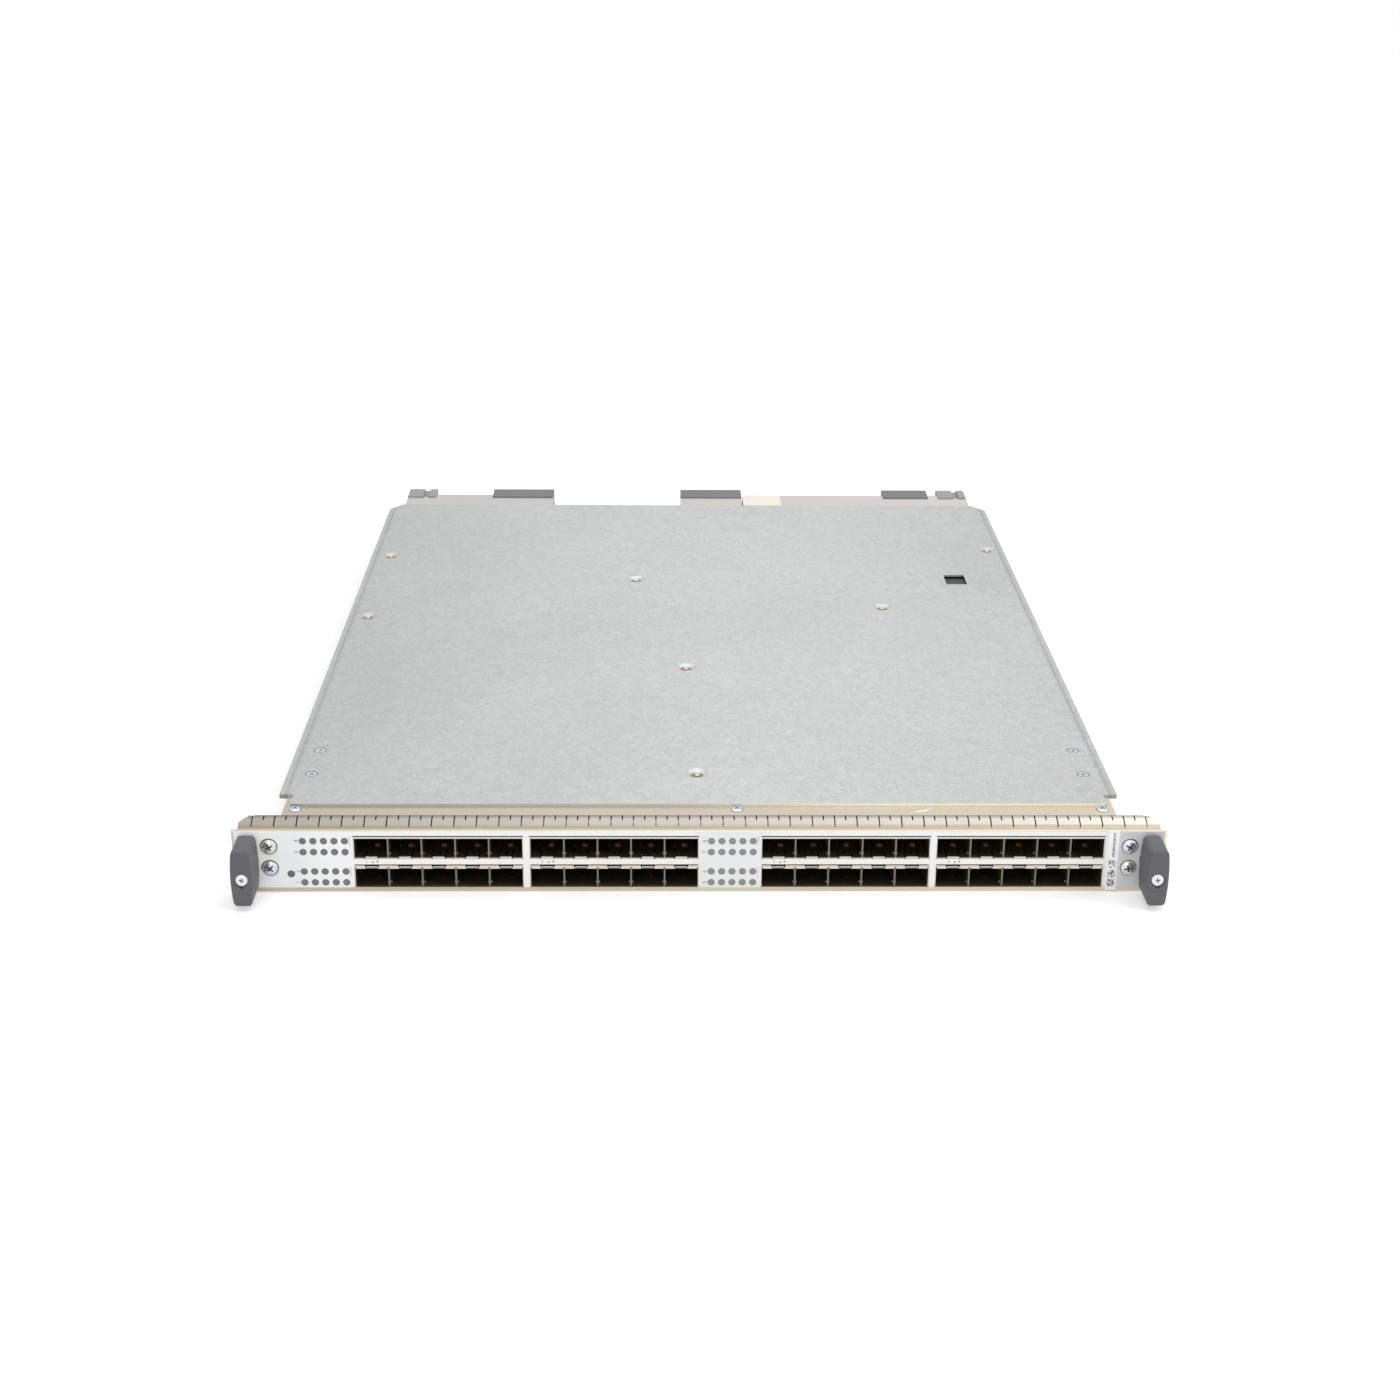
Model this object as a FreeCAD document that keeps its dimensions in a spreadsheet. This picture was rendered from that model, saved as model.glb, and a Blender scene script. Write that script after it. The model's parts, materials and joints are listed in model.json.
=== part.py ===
import FreeCAD, Part
import math
import os
import Sketcher

# A 40-port line card for a large switch chassis: a folded, plated faceplate with four stacked
# 2 x 5 cages for pluggable transceivers, a finger gasket along its top flange, a galvanised
# carrier tray that covers the circuit board, and a jackscrew knob at each end.
# Card frame while modelling: X to the right along the face, Y from the face to the rear,
# Z up, with the face of the overlay at Y = 0.  The finished frame is moved along Y only, to
# the middle of the card's length, and Z = 0 is the face that the card rests on.

DIMENSIONS = (
    ("face_screw_inset", 15.6, "face screws inside the panel's ends"),
    ("aperture_head", 2.3, "plate above the upper apertures"),
    ("plate_gauge", 1.2, "plated sheet of the faceplate and brackets"),
    ("plate_bend", 0.6, "outer radius where the faceplate is folded"),
    ("overlay_gauge", 0.3, "front overlay"),
    ("overlay_inset", 1.0, "plate left bare at each end of the overlay"),
    ("overlay_foot", 2.2, "plate left bare below the overlay"),
    ("overlay_head", 0.5, "plate left bare above the overlay"),
    ("foot_depth", 9.0, "return flange along the faceplate's foot"),
    ("ledge_margin", 1.0, "wide front part of the top flange behind the gasket"),
    ("flange_depth", 45.0, "top flange, rearwards from the plate"),
    ("port_pitch", 14.25, "one port to the next along a row"),
    ("cage_margin", 0.375, "cage beyond the outermost port pitch, each side"),
    ("block_gap", 2.55, "one cage to its neighbour in a pair"),
    ("cage_to_lamps", 3.46, "second cage to the middle lamps' window"),
    ("cage_to_screw", 10.425, "last cage to the face screws"),
    ("row_pitch", 13.35, "lower port row to the upper one"),
    ("aperture_foot", 2.15, "lower edge of the lower apertures"),
    ("aperture_height", 10.9, "one aperture in the faceplate"),
    ("cage_gauge", 0.4, "sheet of the cages"),
    ("cage_play", 0.15, "cage above the foot of its aperture"),
    ("port_height", 9.2, "lower port from its floor to its ceiling"),
    ("lower_collar", 0.4, "spring collar above the lower ports' ceiling"),
    ("lower_collar_depth", 1.0, "spring collar of the lower ports, front to back"),
    ("latch_relief", 1.2, "opening in the channel's web behind a latch"),
    ("cage_depth", 47.0, "cage, front to back"),
    ("cage_nose", 0.5, "front of the cages behind the overlay's face"),
    ("cage_collar", 0.45, "spring collar below the cage's front edge"),
    ("cage_collar_depth", 4.0, "spring collar, front to back"),
    ("divider_gauge", 0.65, "wall between two ports"),
    ("latch_width", 5.1, "latch tongue of a port"),
    ("latch_length", 12.0, "latch tongue of a port"),
    ("latch_gap", 0.5, "slot round a latch tongue"),
    ("latch_tab", 0.5, "turned-up front of a latch tongue"),
    ("latch_eye", 2.4, "triangular hole in a latch tongue"),
    ("socket_depth", 12.0, "edge connector at the back of a port"),
    ("socket_gap", 0.3, "edge connector to the walls of its port"),
    ("slot_width", 10.6, "card slot of an edge connector"),
    ("slot_height", 1.2, "card slot of an edge connector"),
    ("slot_depth", 6.0, "card slot of an edge connector"),
    ("finger_pitch", 9.525, "one long slot of the gasket to the next"),
    ("finger_slot", 0.55, "width of the gasket's slots"),
    ("gasket_front", 4.3, "front edge of the gasket"),
    ("gasket_width", 9.6, "gasket, front to back"),
    ("gasket_rise", 2.3, "crest of the gasket above the flange"),
    ("gasket_gauge", 0.25, "strip of the gasket"),
    ("gasket_inset", 2.2, "end of the gasket inside the panel's end"),
    ("gasket_lip", 0.8, "upright front lip of the gasket"),
    ("gasket_lean", 0.55, "lean of the front lip"),
    ("gasket_slope", 3.55, "sloping fingers ahead of the crest"),
    ("gasket_crest", 2.2, "level crest of the gasket"),
    ("gasket_chamfer", 3.6, "cut corners of the gasket's ends"),
    ("gasket_hem", 1.2, "uncut strip behind the long slots"),
    ("half_slot_front", 2.4, "half slots start this far ahead of the crest's middle"),
    ("lamp_pitch_x", 4.44, "one port lamp to the next along a row"),
    ("lamp_pitch_z", 5.12, "the two rows of a lamp pair"),
    ("lamp_pair_pitch", 14.23, "one lamp pair to the other"),
    ("lamp_foot", 4.6, "centre of the lowest row of lamps"),
    ("lamp_radius", 1.56, "port lamp"),
    ("lamps_to_cage", 1.61, "lamps' window to the cage at its right"),
    ("pipe_margin", 0.25, "lamp window beyond its lamps"),
    ("pipe_depth", 17.0, "light pipe block, front to back"),
    ("status_gap", 8.7, "face screw to the status lamp"),
    ("lamps_gap", 3.735, "status lamp to the left lamps' window"),
    ("status_z", 8.6, "status lamp"),
    ("status_radius", 1.65, "status lamp"),
    ("face_screw_low", 11.4, "lower face screw"),
    ("face_screw_pitch", 10.0, "lower face screw to the upper one"),
    ("face_screw_head", 3.55, "radius of a face screw's head"),
    ("face_screw_rise", 1.6, "height of a face screw's head"),
    ("face_screw_shank", 1.9, "radius of a face screw's shank"),
    ("face_screw_length", 6.0, "shank of a face screw"),
    ("screw_play", 0.1, "radial play of a screw in its hole"),
    ("head_play", 0.35, "radial play of a screw head in the overlay"),
    ("knob_inset", 6.7, "knob's axis inside the panel's end"),
    ("knob_z", 15.45, "knob's axis above the foot"),
    ("knob_width", 9.2, "knob across its waist"),
    ("knob_end_width", 7.5, "knob across its ends"),
    ("knob_height", 25.0, "knob, end to end"),
    ("knob_depth", 16.2, "knob, front to back"),
    ("knob_gap", 2.4, "knob to the face"),
    ("knob_bevel", 0.7, "bevelled edges of the knob's front"),
    ("knob_corner", 2.0, "rounded corners of the knob's outline"),
    ("knob_recess", 3.0, "radius of the recess for the knob screw"),
    ("knob_recess_depth", 1.6, "recess for the knob screw"),
    ("knob_socket", 2.6, "radius of the socket for the spindle"),
    ("knob_socket_depth", 8.0, "socket for the spindle"),
    ("knob_screw_head", 2.6, "radius of the knob screw's head"),
    ("knob_screw_rise", 1.2, "height of the knob screw's head"),
    ("knob_screw_shank", 1.5, "radius of the knob screw's shank"),
    ("knob_screw_length", 10.0, "shank of the knob screw"),
    ("spindle_radius", 3.0, "spindle in its bushing"),
    ("spindle_thread", 2.5, "radius of the spindle's threaded end"),
    ("spindle_collar", 4.0, "collar between knob and face"),
    ("spindle_shoulder", 1.2, "journal behind the retaining ring"),
    ("spindle_reach", 26.0, "threaded end behind the shoulder"),
    ("spindle_tip", 1.0, "chamfer of the threaded end"),
    ("running_play", 0.05, "radial play of the spindle in its bushing"),
    ("axial_play", 0.3, "end play of the spindle"),
    ("bushing_radius", 4.4, "bushing in the faceplate"),
    ("bushing_flange", 5.2, "flange of the bushing"),
    ("bushing_flange_gauge", 1.2, "flange of the bushing"),
    ("ring_radius", 4.4, "retaining ring on the spindle"),
    ("ring_gauge", 0.8, "retaining ring on the spindle"),
    ("ring_groove", 0.5, "depth of the groove for the ring"),
    ("tray_gauge", 1.0, "galvanised sheet of the tray"),
    ("tray_gap", 3.4, "flange screws to the front edge of the tray"),
    ("tray_length", 447.1, "tray, front to back"),
    ("tray_inset", 14.9, "tray's guide edges inside the panel's ends"),
    ("neck_inset", 6.1, "tray's front part inside its guide edges"),
    ("guide_setback", 10.0, "guide edges behind the tray's front edge"),
    ("guide_hem", 3.6, "folded-under strip of a guide edge"),
    ("hem_play", 0.1, "side brackets inside the folded strips"),
    ("tray_cut_x", 7.0, "cut rear corners of the tray, across"),
    ("tray_cut_y", 9.5, "cut rear corners of the tray, along"),
    ("dimple_radius", 5.2, "mouth of a dimple"),
    ("dimple_floor", 3.2, "floor of a dimple"),
    ("dimple_wall", 0.6, "sheet round the floor of a dimple"),
    ("stud_radius", 1.3, "stud through a dimple"),
    ("stud_rise", 0.5, "stud above the floor of its dimple"),
    ("window_inset", 34.8, "middle of the tray's window inside the guide edge"),
    ("window_y", 329.6, "middle of the tray's window"),
    ("window_width", 11.6, "tray's window, across"),
    ("window_length", 16.3, "tray's window, along"),
    ("pad_margin", 2.0, "black pad beyond the window"),
    ("pad_gauge", 0.5, "black pad under the window"),
    ("tray_screw_inset", 10.8, "tray screws inside the guide edges"),
    ("tray_screw_setback", 32.3, "front tray screws behind the tray's front edge"),
    ("tray_screw_pitch", 27.0, "front tray screws to the rear ones"),
    ("tray_screw_head", 2.6, "radius of a tray screw's head"),
    ("tray_screw_shank", 1.25, "radius of a tray screw's shank"),
    ("flange_screw_inset", 4.4, "outer flange screws inside the narrow flange"),
    ("flange_screw_middle", 15.9, "middle flange screw"),
    ("flange_screw_gap", 7.1, "wide part of the flange to the flange screws"),
    ("flange_screw_head", 2.55, "radius of a flange screw's head"),
    ("flange_screw_rise", 0.9, "height of a flange screw's head"),
    ("screw_past", 0.6, "shanks past the board's underside"),
    ("board_gauge", 1.8, "circuit board"),
    ("board_front", 12.0, "front edge of the board"),
    ("tail_past_housing", 5.8, "board's rear edge behind the housings' fronts"),
    ("board_side_gap", 0.2, "board to the side brackets"),
    ("neck_setback", 14.5, "board narrows this far ahead of the tray's rear edge"),
    ("neck_taper", 4.0, "length over which the board narrows"),
    ("tail_inset", 2.8, "board's tails inside its side edges"),
    ("notch_play", 0.1, "notch round a connector"),
    ("bracket_margin", 4.8, "side bracket behind its rear tray screw"),
    ("bracket_flange", 16.0, "top flange of a side bracket"),
    ("bracket_tab_gap", 0.4, "front tab of a side bracket to the bushing"),
    ("bracket_foot", 0.3, "side bracket above the faceplate's foot flange"),
    ("flange_play", 0.2, "faceplate's flange to the brackets' flanges"),
    ("sticker_gap", 0.175, "blank sticker to the last cage"),
    ("sticker_play", 0.4, "blank sticker to the face screws' heads"),
    ("sticker_foot", 1.0, "foot of the blank sticker"),
    ("sticker_wrap", 2.6, "blank sticker on the top flange, from the face"),
    ("sticker_gauge", 0.15, "blank sticker"),
    ("connector_1_gap", 35.6, "left guide block to the first connector"),
    ("connector_1_width", 38.0, "first connector"),
    ("connector_2_place", 4.4, "second connector's left end, left of the middle"),
    ("connector_2_width", 38.3, "second connector"),
    ("connector_3_gap", 6.3, "third connector to the right guide block"),
    ("connector_3_width", 28.4, "third connector"),
    ("power_gap", 0.7, "second connector to the power connector"),
    ("power_width", 23.8, "power connector"),
    ("tail_margin", 0.2, "board's tails past the connectors beside their gap"),
    ("stiffener_lap", 5.5, "stiffeners under the tray's rear edge"),
    ("housing_gap", 19.2, "tray's rear edge to the connectors' housings"),
    ("housing_depth", 16.3, "backplane connector's housing"),
    ("housing_foot", 1.0, "housing above the resting face"),
    ("housing_proud", 0.5, "housing above the stiffener"),
    ("contact_pitch", 1.9, "one contact column to the next"),
    ("contact_slot", 0.9, "width of a contact column"),
    ("contact_depth", 5.0, "depth of a contact column"),
    ("contact_edge", 1.6, "housing above and below its contact columns"),
    ("contact_margin", 0.75, "housing beyond its outermost columns"),
    ("wafer_depth", 20.7, "connectors' wafers, front to back"),
    ("wafer_inset", 0.4, "wafers inside the ends of their housing"),
    ("wafer_foot", 3.0, "wafers above the resting face"),
    ("wafer_cut", 9.0, "bevelled front corner of the wafers"),
    ("wafer_groove", 0.4, "groove between two wafers"),
    ("wafer_groove_depth", 1.5, "groove between two wafers"),
    ("guide_bore", 3.2, "radius of a guide block's bore"),
    ("guide_bore_depth", 24.0, "guide block's bore"),
    ("guide_lap", 15.7, "guide blocks under the board, ahead of the housings"),
    ("guide_width", 17.5, "guide block, across"),
    ("key_offset", 0.9, "key slot beside a guide block's middle"),
    ("key_width", 3.3, "key slot of a guide block"),
    ("key_depth", 1.2, "key slot of a guide block"),
    ("power_nose", 0.5, "power connector behind the board"),
    ("power_lap", 13.5, "power connector under the board, ahead of its notch"),
    ("power_notch", 0.3, "power connector's notch behind the tray's rear edge"),
    ("pocket_width", 2.2, "contact pocket of the power connector"),
    ("pocket_edge", 3.0, "power connector above and below its pockets"),
    ("pocket_depth", 7.0, "contact pocket of the power connector"),
    ("sink_width", 62.0, "heat sink"),
    ("sink_base", 3.0, "base of a heat sink"),
    ("sink_fin", 0.9, "fin of a heat sink"),
    ("sink_fin_height", 14.5, "fins of a heat sink"),
    ("sink_inset", 16.8, "outer heat sinks inside the board's sides"),
    ("sink_front", 119.0, "front of the heat sinks"),
    ("chip_width", 40.0, "processor under a heat sink"),
    ("chip_gauge", 2.6, "processor under a heat sink"),
    ("fabric_gap", 14.0, "memory chips to the fabric chips"),
    ("fabric_width", 34.0, "fabric chip"),
    ("memory_width", 11.0, "memory chip, across"),
    ("memory_length", 14.0, "memory chip, along"),
    ("memory_gauge", 1.2, "memory chip"),
    ("memory_pitch", 15.0, "one memory chip to the next"),
    ("memory_gap", 17.0, "heat sinks to the memory chips"),
    ("memory_row_pitch", 19.0, "one memory row to the next"),
    ("brick_width", 58.0, "power module, across"),
    ("brick_length", 37.0, "power module, along"),
    ("brick_gauge", 11.0, "power module"),
    ("brick_inset", 20.3, "outer power modules inside the board's sides"),
    ("brick_gap", 21.0, "capacitors to the power modules"),
    ("brick_stand", 1.0, "feet of a power module"),
    ("brick_foot", 3.0, "foot of a power module, across"),
    ("capacitor_inset", 18.5, "outer capacitors inside the board's sides"),
    ("capacitor_width", 10.0, "capacitor, across"),
    ("capacitor_length", 7.0, "capacitor, along"),
    ("capacitor_height", 4.5, "capacitor"),
    ("capacitor_gap", 69.5, "fabric chips to the capacitors"),
)


# Dimples of the tray, each over a stud: the side whose guide edge it is measured from (0 for the
# card's middle), the distance across from there, and the place along the card.
DIMPLES = (
    (-1, 10.8, 371.0), (-1, 10.4, 267.0), (0, -30.7, 329.5), (0, -4.2, 191.6),
    (0, -0.7, 58.9), (0, 103.2, 283.0), (1, 9.4, 384.0),
)
PORT_COUNT = 5
SINK_COUNT = 4
FIN_COUNT = 15
MEMORY_COUNT = 16
MEMORY_ROW_COUNT = 2
MODULE_COUNT = 4
BLADE_COUNT = 4
CAPACITOR_COUNT = 10
SIDES = (("left", -1), ("right", 1))
CROWN = 0.72    # top of a screw's head, as a share of its radius
SINK_SHARE = 0.7    # depth of a countersunk head, as a share of its sheet
PAST = 1.0    # cutting tools reach this far past what they cut
GRAZE = 0.2   # cuts in thin sheet reach this far past it
SEAT = 1.0    # walls and pipes reach this far past the edge that carries them


class Size:
    """A length that carries both its number and the sheet formula that gives it."""

    def __init__(self, value, formula=None):
        self.value = float(value)
        self.formula = formula if formula else "(%.6g)" % value

    @staticmethod
    def of(thing):
        return thing if isinstance(thing, Size) else Size(thing)

    def joined(self, sign, other, value):
        return Size(value, "(%s %s %s)" % (self.formula, sign, other.formula))

    def __add__(self, other):
        other = Size.of(other)
        return self.joined("+", other, self.value + other.value)

    def __sub__(self, other):
        other = Size.of(other)
        return self.joined("-", other, self.value - other.value)

    def __mul__(self, other):
        other = Size.of(other)
        return self.joined("*", other, self.value * other.value)

    def __truediv__(self, other):
        other = Size.of(other)
        return self.joined("/", other, self.value / other.value)

    def __radd__(self, other):
        return Size.of(other) + self

    def __rsub__(self, other):
        return Size.of(other) - self

    def __rmul__(self, other):
        return Size.of(other) * self

    def __neg__(self):
        return Size(-self.value, "(-1 * %s)" % self.formula)


doc = FreeCAD.newDocument("LineCard")
sheet = doc.addObject("Spreadsheet::Sheet", "Dims")


class Card:
    """The card's sizes by name, each in a cell of its own."""

    rows = 0

    @classmethod
    def add(cls, alias, content, value, meaning):
        cls.rows += 1
        sheet.set("A%d" % cls.rows, meaning)
        sheet.set("B%d" % cls.rows, content)
        sheet.setAlias("B%d" % cls.rows, alias)
        setattr(cls, alias, Size(value, "Dims." + alias))

    @classmethod
    def derive(cls, alias, size, meaning):
        """A size worked out from others by the sheet."""
        cls.add(alias, "=" + size.formula.replace("Dims.", ""), size.value, meaning)
        return getattr(cls, alias)


for alias, number, meaning in DIMENSIONS:
    Card.add(alias, "%g" % number, number, meaning)
for number, (side, across, along) in enumerate(DIMPLES, start=1):
    Card.add("dimple_%d_across" % number, "%g" % across, across, "middle of a dimple")
    Card.add("dimple_%d_along" % number, "%g" % along, along, "middle of a dimple")

# Across the face, from its left end to its right end: what stands side by side makes the width.
block_width = Card.derive(
    "block_width", Card.port_pitch * PORT_COUNT + Card.cage_margin * 2, "cage, across")
half_block = Card.derive("half_block", block_width / 2, "half of a cage")
lamp_reach = Card.derive(
    "lamp_reach", Card.lamp_pitch_x * 2 + Card.lamp_radius + Card.pipe_margin,
    "middle of a group of lamps to its window's end")
panel_width = Card.derive(
    "panel_width", Card.face_screw_inset * 2 + Card.status_gap + Card.lamps_gap + lamp_reach * 4
    + Card.lamps_to_cage * 2 + block_width * 4 + Card.block_gap * 2 + Card.cage_to_lamps
    + Card.cage_to_screw, "faceplate from end to end")
half_panel = Card.derive("half_panel", panel_width / 2, "middle of the card to the panel's end")
face_screw_x = Card.derive(
    "face_screw_x", half_panel - Card.face_screw_inset, "face screws each side of the middle")
knob_x = Card.derive("knob_x", half_panel - Card.knob_inset, "knobs each side of the middle")
status_x = Card.derive("status_x", Card.status_gap - face_screw_x, "status lamp")
left_lamps_x = Card.derive(
    "left_lamps_x", status_x + Card.lamps_gap + lamp_reach, "middle of the left lamps")
block_1 = Card.derive(
    "block_1", left_lamps_x + lamp_reach + Card.lamps_to_cage + half_block, "middle of a cage")
block_2 = Card.derive("block_2", block_1 + block_width + Card.block_gap, "middle of a cage")
middle_lamps_x = Card.derive(
    "middle_lamps_x", block_2 + half_block + Card.cage_to_lamps + lamp_reach,
    "middle of the lamps between the cages")
block_3 = Card.derive(
    "block_3", middle_lamps_x + lamp_reach + Card.lamps_to_cage + half_block, "middle of a cage")
block_4 = Card.derive("block_4", block_3 + block_width + Card.block_gap, "middle of a cage")

# Up the card, from the face that it rests on.
panel_height = Card.derive(
    "panel_height", Card.aperture_foot + Card.row_pitch + Card.aperture_height
    + Card.aperture_head, "faceplate from its foot to the top of its flange")
plate_front = Card.overlay_gauge
plate_back = Card.derive("plate_back", plate_front + Card.plate_gauge, "back of the plate")
flange_top = panel_height
flange_under = Card.derive("flange_under", flange_top - Card.plate_gauge, "flange's underside")
board_under = Card.derive("board_under", flange_under - Card.board_gauge, "board's underside")
tray_under = flange_top
tray_top = Card.derive("tray_top", tray_under + Card.tray_gauge, "top of the tray")
dimple_depth = Card.plate_gauge
upper_foot = Card.aperture_foot + Card.row_pitch
lower_head = Card.aperture_foot + Card.aperture_height

# Across the tray and the board.
half_tray = Card.derive("half_tray", half_panel - Card.tray_inset, "middle to a guide edge")
half_neck = Card.derive("half_neck", half_tray - Card.neck_inset, "half of the tray's front part")
bracket_outer = Card.derive(
    "bracket_outer", half_tray - Card.guide_hem - Card.hem_play, "outer face of a side bracket")
bracket_inner = Card.derive(
    "bracket_inner", bracket_outer - Card.plate_gauge, "inner face of a side bracket")
half_board = Card.derive("half_board", bracket_inner - Card.board_side_gap, "half of the board")
half_tail = Card.derive("half_tail", half_board - Card.tail_inset, "middle to a tail's outer edge")
tray_screw_x = Card.derive(
    "tray_screw_x", half_tray - Card.tray_screw_inset, "tray screws each side of the middle")
flange_screw_x = Card.derive(
    "flange_screw_x", bracket_outer - Card.flange_screw_inset, "outer flange screws")
window_x = Card.derive("window_x", half_tray - Card.window_inset, "middle of the tray's window")
connector_1_left = Card.derive(
    "connector_1_left", Card.guide_width - half_tail + Card.connector_1_gap, "first connector")
connector_1_right = Card.derive(
    "connector_1_right", connector_1_left + Card.connector_1_width, "first connector")
connector_2_left = Card.derive("connector_2_left", -Card.connector_2_place, "second connector")
connector_2_right = Card.derive(
    "connector_2_right", connector_2_left + Card.connector_2_width, "second connector")
power_left = Card.derive("power_left", connector_2_right + Card.power_gap, "power connector")
power_right = Card.derive("power_right", power_left + Card.power_width, "power connector")
connector_3_right = Card.derive(
    "connector_3_right", half_tail - Card.guide_width - Card.connector_3_gap, "third connector")
connector_3_left = Card.derive(
    "connector_3_left", connector_3_right - Card.connector_3_width, "third connector")
tail_gap_left = Card.derive(
    "tail_gap_left", connector_1_right + Card.tail_margin, "gap between the board's tails")
tail_gap_right = Card.derive(
    "tail_gap_right", connector_2_left - Card.tail_margin, "gap between the board's tails")

# Along the card, from the face to the rear.
cage_back = Card.derive("cage_back", Card.cage_nose + Card.cage_depth, "back of the cages")
knob_back = -Card.knob_gap
knob_front = Card.derive("knob_front", knob_back - Card.knob_depth, "front of the knobs")
gasket_rear = Card.derive("gasket_rear", Card.gasket_front + Card.gasket_width, "gasket's rear")
crest_front = Card.derive(
    "crest_front", Card.gasket_front + Card.gasket_lean + Card.gasket_slope, "gasket's crest")
crest_y = Card.derive("crest_y", crest_front + Card.gasket_crest / 2, "middle of the crest")
ledge_rear = Card.derive("ledge_rear", gasket_rear + Card.ledge_margin, "rear of the wide flange")
flange_rear = Card.derive("flange_rear", plate_front + Card.flange_depth, "rear of the flange")
flange_screw_y = Card.derive("flange_screw_y", ledge_rear + Card.flange_screw_gap, "their place")
tray_front = Card.derive("tray_front", flange_screw_y + Card.tray_gap, "tray's front edge")
guide_front = Card.derive("guide_front", tray_front + Card.guide_setback, "guide edges' fronts")
tray_screw_front = Card.derive(
    "tray_screw_front", tray_front + Card.tray_screw_setback, "front pair of tray screws")
tray_screw_rear = Card.derive(
    "tray_screw_rear", tray_screw_front + Card.tray_screw_pitch, "rear pair of tray screws")
bracket_rear = Card.derive(
    "bracket_rear", tray_screw_rear + Card.bracket_margin, "rear end of a side bracket")
tray_rear = Card.derive("tray_rear", tray_front + Card.tray_length, "tray's rear edge")
tail_gap_y = Card.derive("tail_gap_y", tray_rear - Card.stiffener_lap, "front of the tails' gap")
neck_y = Card.derive("neck_y", tray_rear - Card.neck_setback, "where the board narrows")
housing_front = Card.derive("housing_front", tray_rear + Card.housing_gap, "housings' fronts")
housing_back = Card.derive("housing_back", housing_front + Card.housing_depth, "housings' backs")
housing_top = Card.derive("housing_top", flange_top + Card.housing_proud, "top of the housings")
board_rear = Card.derive("board_rear", housing_front + Card.tail_past_housing, "board's rear edge")
wafer_front = Card.derive("wafer_front", housing_front - Card.wafer_depth, "wafers' fronts")
guide_start = Card.derive("guide_start", housing_front - Card.guide_lap, "guide blocks' fronts")
power_notch = Card.derive("power_notch_y", tray_rear + Card.power_notch, "power connector's notch")
frame_shift = Card.derive("frame_shift", (housing_back + knob_front) / -2, "to the card's middle")

# Rows of packages under the board, each behind the one before it and spread between its sides.
sink_y = Card.derive("sink_y", Card.sink_front + Card.sink_width / 2, "middle of the heat sinks")
memory_y = Card.derive(
    "memory_y", sink_y + Card.sink_width / 2 + Card.memory_gap + Card.memory_length / 2,
    "middle of the first memory row")
fabric_y = Card.derive(
    "fabric_y", memory_y + Card.memory_row_pitch * (MEMORY_ROW_COUNT - 1) + Card.memory_length / 2
    + Card.fabric_gap + Card.fabric_width / 2, "middle of the fabric chips")
capacitor_y = Card.derive(
    "capacitor_y", fabric_y + Card.fabric_width / 2 + Card.capacitor_gap
    + Card.capacitor_length / 2, "middle of the capacitors")
brick_y = Card.derive(
    "brick_y", capacitor_y + Card.capacitor_length / 2 + Card.brick_gap + Card.brick_length / 2,
    "middle of the power modules")
doc.recompute()


def spread(alias, inset, width, count):
    """The step of a row whose outer pieces stand an inset from the board's sides."""
    return Card.derive(alias, ((half_board - inset) * 2 - width) / (count - 1), "step of a row")


sink_step = spread("sink_step", Card.sink_inset, Card.sink_width, SINK_COUNT)
brick_step = spread("brick_step", Card.brick_inset, Card.brick_width, MODULE_COUNT)
capacitor_step = spread(
    "capacitor_step", Card.capacitor_inset, Card.capacitor_width, CAPACITOR_COUNT)

BLOCKS = [block_1, block_2, block_3, block_4]
LAMP_ROWS = [
    Card.lamp_foot,
    Card.lamp_foot + Card.lamp_pitch_z,
    Card.lamp_foot + Card.lamp_pair_pitch,
    Card.lamp_foot + Card.lamp_pair_pitch + Card.lamp_pitch_z,
]
CONNECTORS = [
    (connector_1_left, connector_1_right),
    (connector_2_left, connector_2_right),
    (connector_3_left, connector_3_right),
]
GUIDES = (
    ("left", -half_tail, Card.guide_width - half_tail),
    ("right", half_tail - Card.guide_width, half_tail),
)


def dimple_place(number, side):
    across = getattr(Card, "dimple_%d_across" % number)
    along = getattr(Card, "dimple_%d_along" % number)
    return (half_tray - across) * side if side else across, along


DIMPLE_PLACES = [dimple_place(i, side) for i, (side, a, b) in enumerate(DIMPLES, start=1)]

finished = []
placed = {}


# ------------------------------------------------------------------ helpers

def bind(thing, path, size):
    thing.setExpression(path, Size.of(size).formula)


def place(thing, x=0, y=0, z=0):
    """Put a feature at a point that follows the sheet."""
    placed[thing.Name] = (Size.of(x), Size.of(y), Size.of(z))
    for letter, size in zip("xyz", placed[thing.Name]):
        bind(thing, "Placement.Base." + letter, size)
    return thing


def box(name, low, high):
    """A block between two corners."""
    low = [Size.of(v) for v in low]
    high = [Size.of(v) for v in high]
    solid = doc.addObject("Part::Box", name)
    for path, a, b in zip(("Length", "Width", "Height"), low, high):
        bind(solid, path, b - a)
    return place(solid, *low)


def mirrored_box(name, side, inner, outer, low_y, high_y, low_z, high_z):
    """A block between two distances from the card's middle, on one side."""
    ends = (inner, outer) if side > 0 else (-Size.of(outer), -Size.of(inner))
    return box(name, (ends[0], low_y, low_z), (ends[1], high_y, high_z))


def cylinder(name, x, y, z, radius, length, along="z"):
    """A round bar from a point, along an axis."""
    solid = doc.addObject("Part::Cylinder", name)
    bind(solid, "Radius", radius)
    bind(solid, "Height", length)
    turn = {"z": (FreeCAD.Vector(0, 0, 1), 0), "y": (FreeCAD.Vector(1, 0, 0), -90),
            "x": (FreeCAD.Vector(0, 1, 0), 90)}[along]
    solid.Placement = FreeCAD.Placement(FreeCAD.Vector(), FreeCAD.Rotation(*turn))
    return place(solid, x, y, z)


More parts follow.
